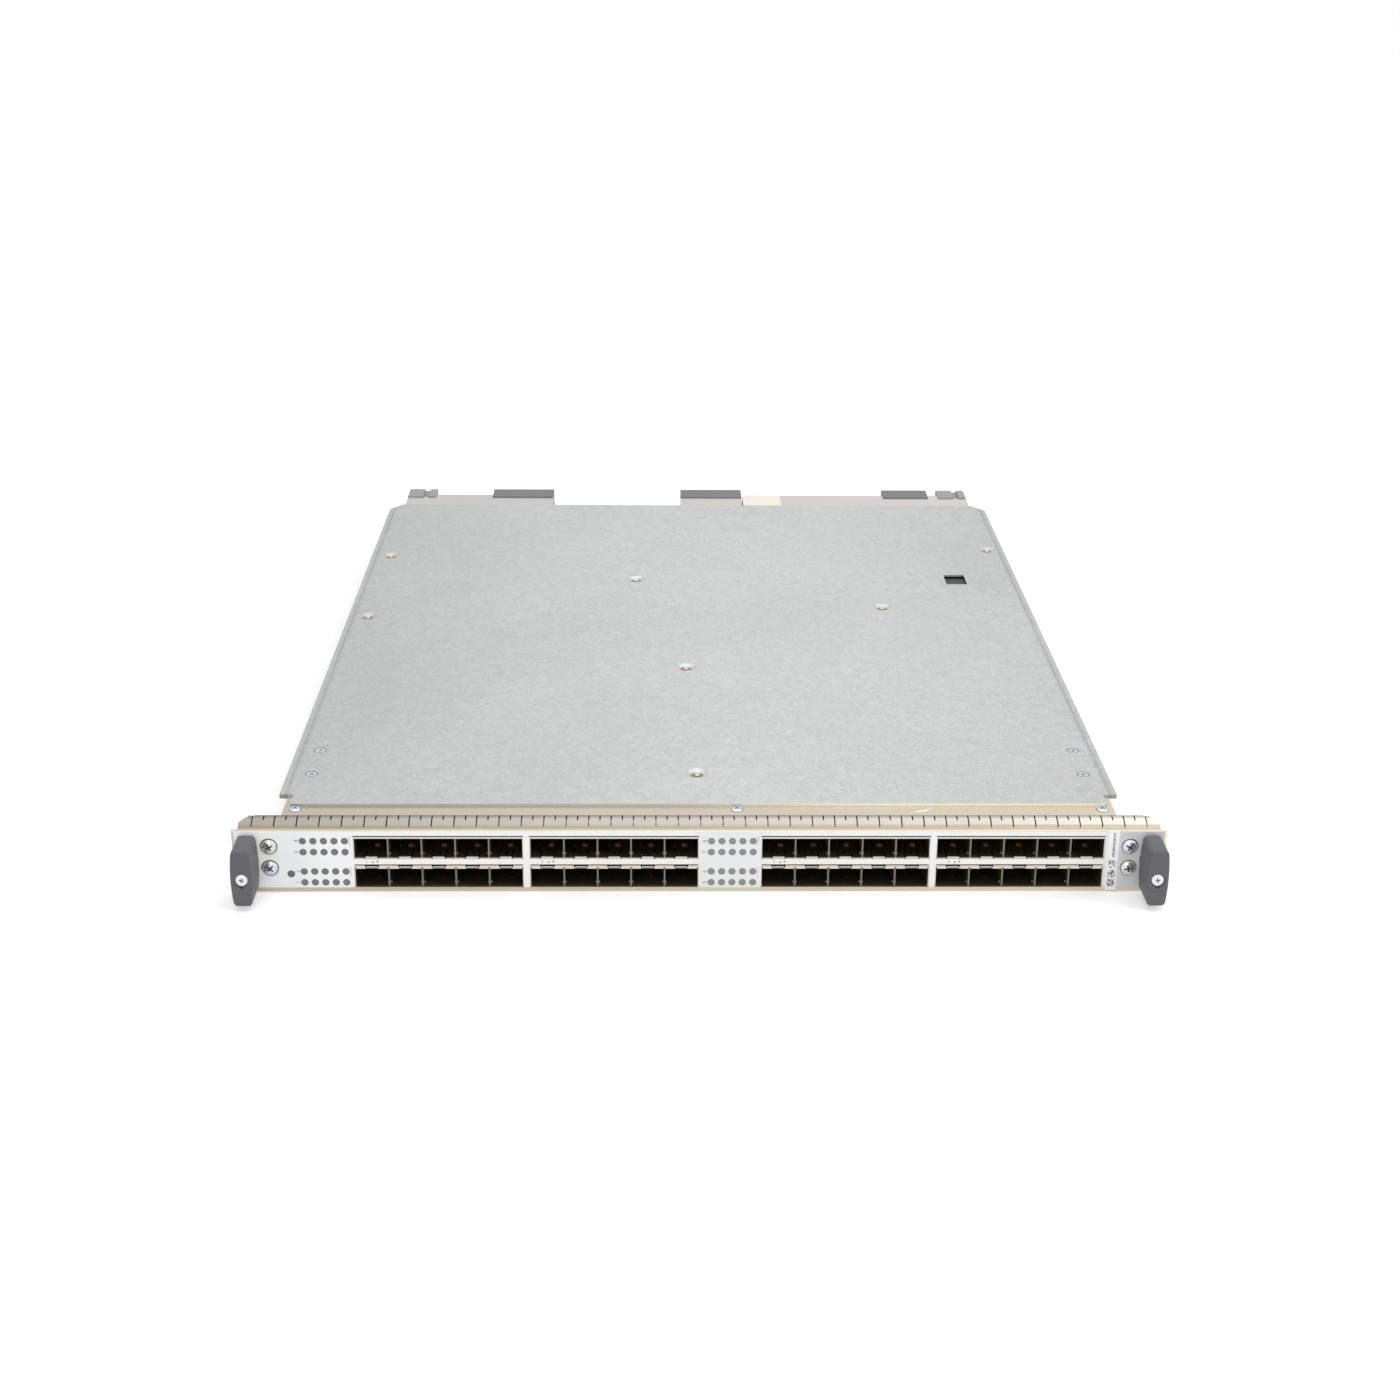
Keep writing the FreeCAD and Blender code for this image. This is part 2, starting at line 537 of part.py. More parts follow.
def cone(name, x, y, z, low_radius, high_radius, height):
    solid = doc.addObject("Part::Cone", name)
    bind(solid, "Radius1", low_radius)
    bind(solid, "Radius2", high_radius)
    bind(solid, "Height", height)
    return place(solid, x, y, z)


def group(name, members):
    whole = doc.addObject("Part::Compound", name)
    whole.Links = members
    return whole


def fuse(name, members):
    whole = doc.addObject("Part::MultiFuse", name)
    whole.Shapes = members
    return whole


def cut(name, base, tools):
    """The base less every tool."""
    result = doc.addObject("Part::Cut", name)
    result.Base = base
    result.Tool = tools[0] if len(tools) == 1 else group(name + "_tools", tools)
    return result


def origin_plane(body, role):
    return [f for f in body.Origin.OriginFeatures if f.Role == role][0]


def constrain_point(sketch, geometry, point, x, y):
    for kind, size in (("DistanceX", x), ("DistanceY", y)):
        rule = Sketcher.Constraint(kind, -1, 1, geometry, point, size.value)
        index = sketch.addConstraint(rule)
        bind(sketch, "Constraints[%d]" % index, size)


def add_outline(sketch, points):
    """A closed outline of straight edges whose corners follow the sheet."""
    points = [(Size.of(x), Size.of(y)) for x, y in points]
    first = sketch.GeometryCount
    count = len(points)
    for i, (x, y) in enumerate(points):
        nx, ny = points[(i + 1) % count]
        start = FreeCAD.Vector(x.value, y.value, 0)
        end = FreeCAD.Vector(nx.value, ny.value, 0)
        sketch.addGeometry(Part.LineSegment(start, end), False)
    for i in range(count):
        joint = Sketcher.Constraint("Coincident", first + i, 2, first + (i + 1) % count, 1)
        sketch.addConstraint(joint)
    for i, (x, y) in enumerate(points):
        constrain_point(sketch, first + i, 1, x, y)


def add_hole(sketch, x, y, radius):
    x, y, radius = Size.of(x), Size.of(y), Size.of(radius)
    centre = FreeCAD.Vector(x.value, y.value, 0)
    normal = FreeCAD.Vector(0, 0, 1)
    index = sketch.addGeometry(Part.Circle(centre, normal, radius.value), False)
    constrain_point(sketch, index, 3, x, y)
    rule = sketch.addConstraint(Sketcher.Constraint("Radius", index, radius.value))
    bind(sketch, "Constraints[%d]" % rule, radius)


def new_sketch(body, name, role):
    sketch = body.newObject("Sketcher::SketchObject", name)
    sketch.AttachmentSupport = [(origin_plane(body, role), "")]
    sketch.MapMode = "FlatFace"
    return sketch


def padded(name, role, outlines, start, length, holes=()):
    """A body padded from outlines on a plane: start is the plane's place on its own axis."""
    body = doc.addObject("PartDesign::Body", name)
    sketch = new_sketch(body, name + "_sketch", role)
    for outline in outlines:
        add_outline(sketch, outline)
    for hole in holes:
        add_hole(sketch, *hole)
    backwards = role == "XZ_Plane"
    offset = -Size.of(start) if backwards else Size.of(start)
    bind(sketch, "AttachmentOffset.Base.z", offset)
    pad = body.newObject("PartDesign::Pad", name + "_pad")
    pad.Profile = sketch
    bind(pad, "Length", length)
    pad.Reversed = backwards
    return body


def turned(name, role, profile, x, y, z):
    """A body turned about its plane's upright axis, from (radius, place) pairs."""
    body = doc.addObject("PartDesign::Body", name)
    sketch = new_sketch(body, name + "_sketch", role)
    add_outline(sketch, profile)
    turn = body.newObject("PartDesign::Revolution", name + "_turn")
    turn.Profile = sketch
    turn.ReferenceAxis = (sketch, ["V_Axis"])
    turn.Angle = 360
    return place(body, x, y, z)


def eased(name, base, radius, wanted, kind="Part::Fillet"):
    """The base with the edges rounded or bevelled that a test picks by their middle and ends."""
    doc.recompute()
    edges = []
    for index, edge in enumerate(base.Shape.Edges, start=1):
        middle = edge.valueAt((edge.FirstParameter + edge.LastParameter) / 2)
        if wanted(edge, middle):
            edges.append((index, Size.of(radius).value, Size.of(radius).value))
    result = doc.addObject(kind, name)
    result.Base = base
    result.Edges = edges
    return result


def close_to(a, b, slack=0.01):
    return abs(a - Size.of(b).value) < slack


def is_sub_part(feature, label):
    """Name a finished piece and move it into the finished frame."""
    x, y, z = placed.get(feature.Name, (Size(0), Size(0), Size(0)))
    feature.Label = label
    place(feature, x, y + frame_shift, z)
    finished.append(feature)


# ------------------------------------------------------------------ face

def screw_places():
    """Face screws: side, height."""
    heights = (Card.face_screw_low, Card.face_screw_low + Card.face_screw_pitch)
    return [(sign, z) for side, sign in SIDES for z in heights]


def lamp_windows():
    """Left, foot, right and head of each lamp slot."""
    reach = Card.lamp_pitch_x * 2 + Card.lamp_radius + Card.pipe_margin
    tall = Card.lamp_radius + Card.pipe_margin
    for centre in (left_lamps_x, middle_lamps_x):
        for z in LAMP_ROWS:
            yield centre - reach, z - tall, centre + reach, z + tall


def rectangle(left, foot, right, head):
    return [(left, foot), (right, foot), (right, head), (left, head)]


def port_apertures():
    for centre in BLOCKS:
        for foot in (Card.aperture_foot, upper_foot):
            yield centre - half_block, foot, centre + half_block, foot + Card.aperture_height


def make_faceplate():
    """One folded sheet: front, top flange with a narrower rear part, and a foot flange."""
    outline = rectangle(-half_panel, 0, half_panel, flange_top)
    windows = [rectangle(*w) for w in port_apertures()]
    windows += [rectangle(*w) for w in lamp_windows()]
    hole = Card.face_screw_shank + Card.screw_play
    holes = [(face_screw_x * sign, z, hole) for sign, z in screw_places()]
    holes += [(knob_x * sign, Card.knob_z, Card.bushing_radius) for side, sign in SIDES]
    holes.append((status_x, Card.status_z, Card.status_radius))
    front = padded("faceplate_front", "XZ_Plane", [outline] + windows, plate_front,
                   Card.plate_gauge, holes)
    end = half_panel - Card.gasket_inset
    corner = Card.gasket_chamfer
    right = [(end, plate_back), (end, crest_y - corner), (end - corner, crest_y),
             (end - corner, ledge_rear), (bracket_outer, ledge_rear), (bracket_outer, flange_rear)]
    flange = right + [(-x, y) for x, y in reversed(right)]
    screw = Card.tray_screw_shank + Card.screw_play
    flange_holes = [(x, flange_screw_y, screw) for x in flange_screw_xs()]
    top = padded("faceplate_flange", "XY_Plane", [flange], flange_under, Card.plate_gauge,
                 flange_holes)
    foot = box("faceplate_foot", (-half_panel, plate_front, 0),
               (half_panel, plate_front + Card.foot_depth, Card.plate_gauge))
    folded = fuse("faceplate_folded", [front, top, foot])

    def on_fold(edge, middle):
        long_edge = edge.Length > panel_width.value - 1
        at_front = close_to(middle.y, plate_front)
        return long_edge and at_front and (close_to(middle.z, 0) or close_to(middle.z, flange_top))

    is_sub_part(eased("faceplate_bent", folded, Card.plate_bend, on_fold), "faceplate")


def make_overlay():
    """A thin sheet on the plate, notched round the lower ports and pierced by the upper ones."""
    outer = half_panel - Card.overlay_inset
    foot = Card.overlay_foot
    head = flange_top - Card.overlay_head
    outline = [(-outer, foot)]
    for centre in BLOCKS:
        left = centre - half_block
        right = centre + half_block
        outline += [(left, foot), (left, lower_head), (right, lower_head), (right, foot)]
    outline += [(outer, foot), (outer, head), (-outer, head)]
    windows = [rectangle(*w) for w in port_apertures() if w[1] is upper_foot]
    seat = Card.face_screw_head + Card.head_play
    holes = [(face_screw_x * sign, z, seat) for sign, z in screw_places()]
    collar = Card.spindle_collar + Card.axial_play
    holes += [(knob_x * sign, Card.knob_z, collar) for side, sign in SIDES]
    sheet_body = padded("overlay_body", "XZ_Plane", [outline] + windows, 0,
                        Card.overlay_gauge, holes)
    is_sub_part(sheet_body, "front_overlay")


def inner_side(points, gauge):
    """The other side of a strip along a chain of points, whose two ends stay level."""
    values = [(y.value, z.value) for y, z in points]
    normals = []
    for (ay, az), (by, bz) in zip(values, values[1:]):
        length = math.hypot(by - ay, bz - az)
        normals.append(((bz - az) / length, (ay - by) / length))
    inner = [(points[0][0] + gauge / normals[0][0], points[0][1])]
    for (y, z), (ay, az), (by, bz) in zip(points[1:-1], normals, normals[1:]):
        share = 1 + ay * by + az * bz
        inner.append((y + gauge * ((ay + by) / share), z + gauge * ((az + bz) / share)))
    inner.append((points[-1][0] + gauge / normals[-1][0], points[-1][1]))
    return inner


def make_gasket():
    """A humped strip with long slots from its front edge and half slots over its crest."""
    crest_top = flange_top + Card.gasket_rise
    hump = [
        (Card.gasket_front, flange_top),
        (Card.gasket_front + Card.gasket_lean, flange_top + Card.gasket_lip),
        (crest_front, crest_top),
        (crest_front + Card.gasket_crest, crest_top),
        (gasket_rear, flange_top),
    ]
    section = hump + inner_side(hump, Card.gasket_gauge)[::-1]
    end = half_panel - Card.gasket_inset
    strip = padded("gasket_hump", "YZ_Plane", [section], -end, end * 2)
    count = int((end * 2).value // Card.finger_pitch.value)
    half_slot = Card.finger_slot / 2
    low_z = flange_top - PAST
    high_z = crest_top + PAST
    back = gasket_rear - Card.gasket_hem
    slots = []
    for i in range(count):
        x = Card.finger_pitch * (i - (count - 1) / 2)
        slots.append(box("gasket_slot_%d" % i, (x - half_slot, Card.gasket_front - PAST, low_z),
                         (x + half_slot, back, high_z)))
        if i < count - 1:
            middle = x + Card.finger_pitch / 2
            slots.append(box("gasket_half_%d" % i,
                             (middle - half_slot, crest_y - Card.half_slot_front, low_z),
                             (middle + half_slot, back, high_z)))
    corner = Card.gasket_chamfer
    for side, sign in SIDES:
        beyond = end + PAST
        tip = [(end * sign, crest_y - corner), (beyond * sign, crest_y - corner),
               (beyond * sign, gasket_rear + PAST), ((end - corner) * sign, gasket_rear + PAST),
               ((end - corner) * sign, crest_y)]
        slots.append(padded("gasket_corner_" + side, "XY_Plane", [tip], low_z, high_z - low_z))
    is_sub_part(cut("gasket_strip", strip, slots), "emi_gasket")


def make_sticker():
    """A blank sticker between the last cage and the screws, folded onto the top flange."""
    left = block_4 + half_block + Card.sticker_gap
    right = face_screw_x - Card.face_screw_head - Card.sticker_play
    gauge = Card.sticker_gauge
    fold = [
        (0, Card.sticker_foot), (0, flange_top), (Card.sticker_wrap, flange_top),
        (Card.sticker_wrap, flange_top + gauge), (-gauge, flange_top + gauge),
        (-gauge, Card.sticker_foot),
    ]
    is_sub_part(padded("sticker_body", "YZ_Plane", [fold], left, right - left), "blank_sticker")


def pan_head(radius, rise, shank, length):
    """Half section of a screw whose head sits on a face: head towards plus, shank to minus."""
    return [(0, rise), (radius * CROWN, rise), (radius, 0), (shank, 0), (shank, -length),
            (0, -length)]


def make_face_screws():
    profile = pan_head(Card.face_screw_head, Card.face_screw_rise, Card.face_screw_shank,
                       Card.face_screw_length)
    outwards = [(radius, -Size.of(along)) for radius, along in profile]
    screws = [
        turned("face_screw_%d" % i, "XY_Plane", outwards, face_screw_x * sign, plate_front, z)
        for i, (sign, z) in enumerate(screw_places())
    ]
    is_sub_part(group("face_screw_set", screws), "face_screws")


def flange_screw_xs():
    return [-flange_screw_x, Card.flange_screw_middle, flange_screw_x]


def make_flange_screws():
    """Screws down through the flange and the board."""
    length = Card.plate_gauge + Card.board_gauge + Card.screw_past
    profile = pan_head(Card.flange_screw_head, Card.flange_screw_rise, Card.tray_screw_shank,
                       length)
    screws = [
        turned("flange_screw_%d" % i, "XZ_Plane", profile, x, flange_screw_y, flange_top)
        for i, x in enumerate(flange_screw_xs())
    ]
    is_sub_part(group("flange_screw_set", screws), "flange_screws")


def make_light_pipes():
    """Clear blocks behind the lamp slots, and one round pipe for the status lamp."""
    windows = list(lamp_windows())
    for label, four in (("left", windows[:4]), ("middle", windows[4:])):
        bars = [
            box("pipe_bar_%s_%d" % (label, i), (left, plate_front, foot), (right, plate_back, head))
            for i, (left, foot, right, head) in enumerate(four)
        ]
        left, foot, right, head = four[0]
        back = box("pipe_back_" + label, (left, plate_back, foot),
                   (right, Card.pipe_depth, board_under))
        is_sub_part(fuse("pipe_block_" + label, bars + [back]), "port_light_pipes_" + label)
    status = cylinder("status_pipe", status_x, plate_front, Card.status_z,
                      Card.status_radius, Card.pipe_depth, "y")
    post = box("status_post",
               (status_x - Card.status_radius, Card.board_front + SEAT, Card.status_z),
               (status_x + Card.status_radius, Card.pipe_depth, board_under))
    is_sub_part(fuse("status_pipe_whole", [status, post]), "status_light_pipe")


# ------------------------------------------------------------------ cages

def make_cages():
    gauge = Card.cage_gauge
    nose = Card.cage_nose
    lid_top = Card.aperture_foot + Card.cage_play
    upper_floor = upper_foot + gauge
    lower_ceiling = lid_top + Card.port_height
    noses = (("lower", lid_top, lower_head), ("upper", upper_foot + Card.cage_play, board_under))
    lids = []
    for number, centre in enumerate(BLOCKS, start=1):
        left = centre - half_block
        right = centre + half_block
        tag = "_%d" % number
        roof_under = board_under - gauge
        roof = box("cage_roof" + tag, (left, nose, roof_under), (right, cage_back, board_under))
        walls = [
            box("cage_wall_left" + tag, (left, plate_back, lid_top),
                (left + gauge, cage_back, board_under)),
            box("cage_wall_right" + tag, (right - gauge, plate_back, lid_top),
                (right, cage_back, board_under)),
            box("cage_wall_back" + tag, (left, cage_back - gauge, lid_top),
                (right, cage_back, board_under)),
            box("cage_collar" + tag, (left, nose, roof_under - Card.cage_collar),
                (right, nose + Card.cage_collar_depth, board_under)),
        ]
        for row, low, high in noses:
            walls.append(box("cage_nose_left_%s%s" % (row, tag), (left, nose, low),
                             (left + gauge, plate_back + SEAT, high)))
            walls.append(box("cage_nose_right_%s%s" % (row, tag), (right - gauge, nose, low),
                             (right, plate_back + SEAT, high)))
        is_sub_part(fuse("cage_folded" + tag, [roof] + walls), "cage_shell" + tag)
        lids.append(box("cage_lid" + tag, (left, nose + SEAT, lid_top - gauge),
                        (right, cage_back, lid_top)))
        make_separator(tag, left + gauge, right - gauge, upper_floor, lower_ceiling, centre)
        make_dividers(tag, centre, upper_floor, roof_under - Card.cage_collar, lid_top,
                      lower_ceiling)
        make_port_connectors(tag, centre, upper_floor, roof_under, lid_top, lower_ceiling)
    is_sub_part(group("cage_lid_set", lids), "cage_lids")


def port_centres(centre):
    middle = (PORT_COUNT - 1) / 2
    return [centre + Card.port_pitch * (i - middle) for i in range(PORT_COUNT)]


def make_separator(tag, left, right, upper_floor, lower_ceiling, centre):
    """A folded channel between the two rows, with a latch tongue for each of its ports."""
    gauge = Card.cage_gauge
    front = Card.cage_nose
    back = cage_back - gauge
    floor = box("separator_floor" + tag, (left, front, upper_floor - gauge),
                (right, back, upper_floor))
    ceiling = box("separator_ceiling" + tag, (left, front, lower_ceiling),
                  (right, back, lower_ceiling + gauge))
    web = box("separator_web" + tag, (left, plate_back, lower_ceiling),
              (right, plate_back + gauge, upper_floor))
    collar = box("separator_collar" + tag, (left, front, lower_ceiling + gauge),
                 (right, front + Card.lower_collar_depth, lower_ceiling + gauge + Card.lower_collar))
    channel = fuse("separator_channel" + tag, [floor, ceiling, web, collar])
    tools = []
    tabs = []
    half = Card.latch_width / 2
    gap = Card.latch_gap
    slot_front = front - PAST
    slot_back = front + Card.latch_length
    relief = Card.latch_relief
    for row, level, rise in (("upper", upper_floor - gauge, 1), ("lower", lower_ceiling, -1)):
        low = level - GRAZE
        high = level + gauge + GRAZE
        for i, x in enumerate(port_centres(centre)):
            name = "%s_%d%s" % (row, i, tag)
            for edge in (-half - gap, half):
                tools.append(box("latch_slot_%s_%d" % (name, edge.value > 0),
                                 (x + edge, slot_front, low), (x + edge + gap, slot_back, high)))
            free_low = level - relief if rise > 0 else level + gauge
            tools.append(box("latch_relief_" + name, (x - half - gap, slot_front, free_low),
                             (x + half + gap, plate_back + gauge + GRAZE / 2, free_low + relief)))
            eye = Card.latch_eye
            eye_front = front + Card.latch_length / 3
            triangle = [(x - eye / 2, eye_front), (x + eye / 2, eye_front), (x, eye_front + eye)]
            tools.append(padded("latch_eye_" + name, "XY_Plane", [triangle], low, high - low))
            tab_low = level + gauge if rise > 0 else level - Card.latch_tab
            tabs.append(box("latch_tab_" + name, (x - half, front, tab_low),
                            (x + half, front + gauge, tab_low + Card.latch_tab)))
    slotted = cut("separator_slotted" + tag, channel, tools)
    is_sub_part(fuse("separator_whole" + tag, [slotted] + tabs), "cage_separator" + tag)


def make_dividers(tag, centre, upper_floor, upper_head, lid_top, lower_ceiling):
    """Upright walls between neighbouring ports, one set for each row."""
    half = Card.divider_gauge / 2
    back = cage_back - Card.cage_gauge
    front = Card.cage_nose + GRAZE
    walls = []
    for i, x in enumerate(port_centres(centre)[:-1]):
        wall_x = x + Card.port_pitch / 2
        rows = (("upper", upper_floor, upper_head), ("lower", lid_top, lower_ceiling))
        for row, foot, head in rows:
            walls.append(box("divider_%s_%d%s" % (row, i, tag), (wall_x - half, front, foot),
                             (wall_x + half, back, head)))
    is_sub_part(group("divider_set" + tag, walls), "cage_dividers" + tag)


def make_port_connectors(tag, centre, upper_floor, upper_head, lid_top, lower_ceiling):
    """An edge connector at the back of each port, with its card slot."""
    play = Card.socket_gap
    half = Card.port_pitch / 2 - Card.divider_gauge / 2 - play
    back = cage_back - Card.cage_gauge
    front = back - Card.socket_depth
    sockets = []
    for row, foot, head in (("upper", upper_floor, upper_head), ("lower", lid_top, lower_ceiling)):
        middle = (foot + head) / 2
        for i, x in enumerate(port_centres(centre)):
            name = "%s_%d%s" % (row, i, tag)
            block = box("socket_" + name, (x - half, front, foot), (x + half, back, head))
            slot = box("socket_slot_" + name,
                       (x - Card.slot_width / 2, front - PAST, middle - Card.slot_height / 2),
                       (x + Card.slot_width / 2, front + Card.slot_depth,
                        middle + Card.slot_height / 2))
            sockets.append(cut("socket_cut_" + name, block, [slot]))
    is_sub_part(group("socket_set" + tag, sockets), "port_connectors" + tag)


# ------------------------------------------------------------------ jackscrew knobs

def make_knob(side, sign):
    """A barrel-sided bar with a socket for the spindle and a recess for its screw."""
    waist = Card.knob_width / 2
    end = Card.knob_end_width / 2
    tall = Card.knob_height / 2
    body = doc.addObject("PartDesign::Body", "knob_body_" + side)
    sketch = new_sketch(body, "knob_sketch_" + side, "XZ_Plane")
    bow = waist - end
    radius = (tall * tall + bow * bow) / (bow * 2)
    lean = math.asin(tall.value / radius.value)
    upright = FreeCAD.Vector(0, 0, 1)
    corners = []
    for facing in (1, -1):
        centre = FreeCAD.Vector((waist.value - radius.value) * facing, 0, 0)
        ring = Part.Circle(centre, upright, radius.value)
        middle = 0 if facing > 0 else math.pi
        arc = Part.ArcOfCircle(ring, middle - lean, middle + lean)
        corners.append(sketch.addGeometry(arc, False))
    x = end.value
    y = tall.value
    top = sketch.addGeometry(Part.LineSegment(FreeCAD.Vector(x, y, 0), FreeCAD.Vector(-x, y, 0)),
                             False)
    foot = sketch.addGeometry(Part.LineSegment(FreeCAD.Vector(-x, -y, 0), FreeCAD.Vector(x, -y, 0)),
                              False)
    for a, pa, b, pb in ((corners[0], 2, top, 1), (top, 2, corners[1], 1),
                         (corners[1], 2, foot, 1), (foot, 2, corners[0], 1)):
        sketch.addConstraint(Sketcher.Constraint("Coincident", a, pa, b, pb))
    constrain_point(sketch, top, 1, end, tall)
    constrain_point(sketch, top, 2, -end, tall)
    constrain_point(sketch, foot, 1, -end, -tall)
    constrain_point(sketch, foot, 2, end, -tall)
    for arc in corners:
        rule = sketch.addConstraint(Sketcher.Constraint("Radius", arc, radius.value))
        bind(sketch, "Constraints[%d]" % rule, radius)
    bind(sketch, "AttachmentOffset.Base.z", -knob_front)
    pad = body.newObject("PartDesign::Pad", "knob_pad_" + side)
    pad.Profile = sketch
    bind(pad, "Length", Card.knob_depth)
    pad.Reversed = True
    corners_rounded = eased("knob_corners_" + side, body, Card.knob_corner, lambda e, m: (
        close_to(e.Length, Card.knob_depth) and close_to(abs(m.z), tall)))

    def at_front(edge, middle):
        return close_to(middle.y, knob_front)

    soft = eased("knob_soft_" + side, corners_rounded, Card.knob_bevel, at_front, "Part::Chamfer")
    socket = cylinder("knob_socket_" + side, 0, knob_back - Card.knob_socket_depth, 0,
                      Card.knob_socket, Card.knob_socket_depth + PAST, "y")
    recess = cylinder("knob_recess_" + side, 0, knob_front - PAST, 0, Card.knob_recess,
                      Card.knob_recess_depth + PAST, "y")
    through = cylinder("knob_through_" + side, 0, knob_front - PAST, 0,
                       Card.knob_screw_shank + Card.screw_play, Card.knob_depth, "y")
    shape = cut("knob_whole_" + side, soft, [socket, recess, through])
    place(shape, knob_x * sign, 0, Card.knob_z)
    is_sub_part(shape, "knob_" + side)


def make_spindle(side, sign):
    """The turned jackscrew: boss in the knob, collar, journal, ring groove and threaded end."""
    boss = Card.knob_socket - Card.running_play
    bushing_back = plate_back + Card.bushing_flange_gauge
    ring_front = bushing_back + Card.axial_play
    ring_back = ring_front + Card.ring_gauge
    shoulder = ring_back + Card.spindle_shoulder
    tip = shoulder + Card.spindle_reach
    collar_back = plate_front - Card.axial_play
    groove = Card.spindle_radius - Card.ring_groove
    bore = Card.knob_screw_shank + Card.running_play
    boss_front = knob_back - Card.knob_socket_depth + Card.axial_play
    bore_back = knob_front + Card.knob_recess_depth + Card.knob_screw_length + Card.axial_play
    profile = [
        (bore, boss_front), (boss, boss_front), (boss, knob_back),
        (Card.spindle_collar, knob_back), (Card.spindle_collar, collar_back),
        (Card.spindle_radius, collar_back), (Card.spindle_radius, ring_front),
        (groove, ring_front), (groove, ring_back), (Card.spindle_radius, ring_back),
        (Card.spindle_radius, shoulder), (Card.spindle_thread, shoulder),
        (Card.spindle_thread, tip - Card.spindle_tip),
        (Card.spindle_thread - Card.spindle_tip, tip), (0, tip), (0, bore_back), (bore, bore_back),
    ]
    axis = (knob_x * sign, 0, Card.knob_z)
    is_sub_part(turned("spindle_" + side, "XY_Plane", profile, *axis), "jackscrew_" + side)
    head_front = knob_front + Card.knob_recess_depth - Card.knob_screw_rise
    seat = knob_front + Card.knob_recess_depth
    screw = [
        (0, head_front), (Card.knob_screw_head * CROWN, head_front),
        (Card.knob_screw_head, seat), (Card.knob_screw_shank, seat),
        (Card.knob_screw_shank, seat + Card.knob_screw_length), (0, seat + Card.knob_screw_length),
    ]
    is_sub_part(turned("knob_fixing_" + side, "XY_Plane", screw, *axis), "knob_screw_" + side)
    ring_bore = groove + Card.running_play
    ring = [(ring_bore, ring_front), (Card.ring_radius, ring_front), (Card.ring_radius, ring_back),
            (ring_bore, ring_back)]
    is_sub_part(turned("ring_" + side, "XY_Plane", ring, *axis), "retaining_ring_" + side)
    play = Card.spindle_radius + Card.running_play
    bushing = [(play, plate_front), (Card.bushing_radius, plate_front),
               (Card.bushing_radius, plate_back), (Card.bushing_flange, plate_back),
               (Card.bushing_flange, bushing_back), (play, bushing_back)]
    is_sub_part(turned("bushing_" + side, "XY_Plane", bushing, *axis), "jackscrew_bushing_" + side)


def make_side_bracket(side, sign):
    """A folded bracket: side wall, tapped front tab behind the face, top flange under the tray."""
    front = plate_back
    foot = Card.plate_gauge + Card.bracket_foot
    tab_end = knob_x - Card.bushing_flange - Card.bracket_tab_gap
    folded = fuse("bracket_folded_" + side, [
        mirrored_box("bracket_wall_" + side, sign, bracket_inner, bracket_outer, front,
                     bracket_rear, foot, flange_under),
        mirrored_box("bracket_tab_" + side, sign, bracket_inner, tab_end, front,
                     front + Card.plate_gauge, foot, flange_under),
        mirrored_box("bracket_top_" + side, sign, bracket_outer - Card.bracket_flange,
                     bracket_outer, flange_rear + Card.flange_play, bracket_rear, flange_under,
                     flange_top),
    ])
    hole = Card.face_screw_shank + Card.screw_play
    tap = Card.tray_screw_shank + Card.screw_play
    through = Card.plate_gauge + PAST * 2
    tools = [
        cylinder("bracket_hole_%s_%d" % (side, i), face_screw_x * sign, front - PAST, z, hole,
                 through, "y")
        for i, z in enumerate((Card.face_screw_low, Card.face_screw_low + Card.face_screw_pitch))
    ]
    for i, y in enumerate((tray_screw_front, tray_screw_rear)):
        tools.append(cylinder("bracket_tap_%s_%d" % (side, i), tray_screw_x * sign, y,
                              flange_under - PAST, tap, through))
    is_sub_part(cut("bracket_whole_" + side, folded, tools), "side_bracket_" + side)


# ------------------------------------------------------------------ tray and board

def make_tray():
    """A galvanised sheet with hemmed guide edges, dimples down to the board and a window."""
    cut_x, cut_y = Card.tray_cut_x, Card.tray_cut_y
    right = [(half_neck, tray_front), (half_neck, guide_front), (half_tray, guide_front),
             (half_tray, tray_rear - cut_y), (half_tray - cut_x, tray_rear)]
    left = [(-x, y) for x, y in reversed(right)]
    half_w = Card.window_width / 2
    half_l = Card.window_length / 2
    window = rectangle(window_x - half_w, Card.window_y - half_l,
                       window_x + half_w, Card.window_y + half_l)
    panel = padded("tray_panel", "XY_Plane", [right + left, window], tray_under, Card.tray_gauge)
    hems = [
        mirrored_box("tray_hem_" + side, sign, half_tray - Card.guide_hem, half_tray,
                     guide_front, tray_rear - cut_y, tray_under - Card.tray_gauge, tray_under)
        for side, sign in SIDES
    ]
    slope = Card.dimple_radius - Card.dimple_floor
    skirt = Card.dimple_floor + Card.dimple_wall
    skirts = [
        cone("dimple_skirt_%d" % i, x, y, tray_under - dimple_depth, skirt, skirt + slope,
             dimple_depth)
        for i, (x, y) in enumerate(DIMPLE_PLACES)
    ]
    solid = fuse("tray_solid", [panel] + hems + skirts)
    tools = []
    hole = Card.stud_radius + Card.screw_play
    for i, (x, y) in enumerate(DIMPLE_PLACES):
        tools.append(cone("dimple_bowl_%d" % i, x, y, tray_top - dimple_depth,
                          Card.dimple_floor, Card.dimple_radius, dimple_depth))
        tools.append(cylinder("dimple_hole_%d" % i, x, y, flange_under - PAST, hole,
                              dimple_depth + PAST))
    for i, (x, y) in enumerate(tray_screw_places()):
        tools.append(cone("tray_sink_%d" % i, x, y, tray_under,
                          Card.tray_screw_shank + Card.screw_play,
                          Card.tray_screw_head + Card.screw_play, Card.tray_gauge))
    is_sub_part(cut("tray_whole", solid, tools), "carrier_tray")


def tray_screw_places():
    return [(tray_screw_x * sign, y) for side, sign in SIDES
            for y in (tray_screw_front, tray_screw_rear)]


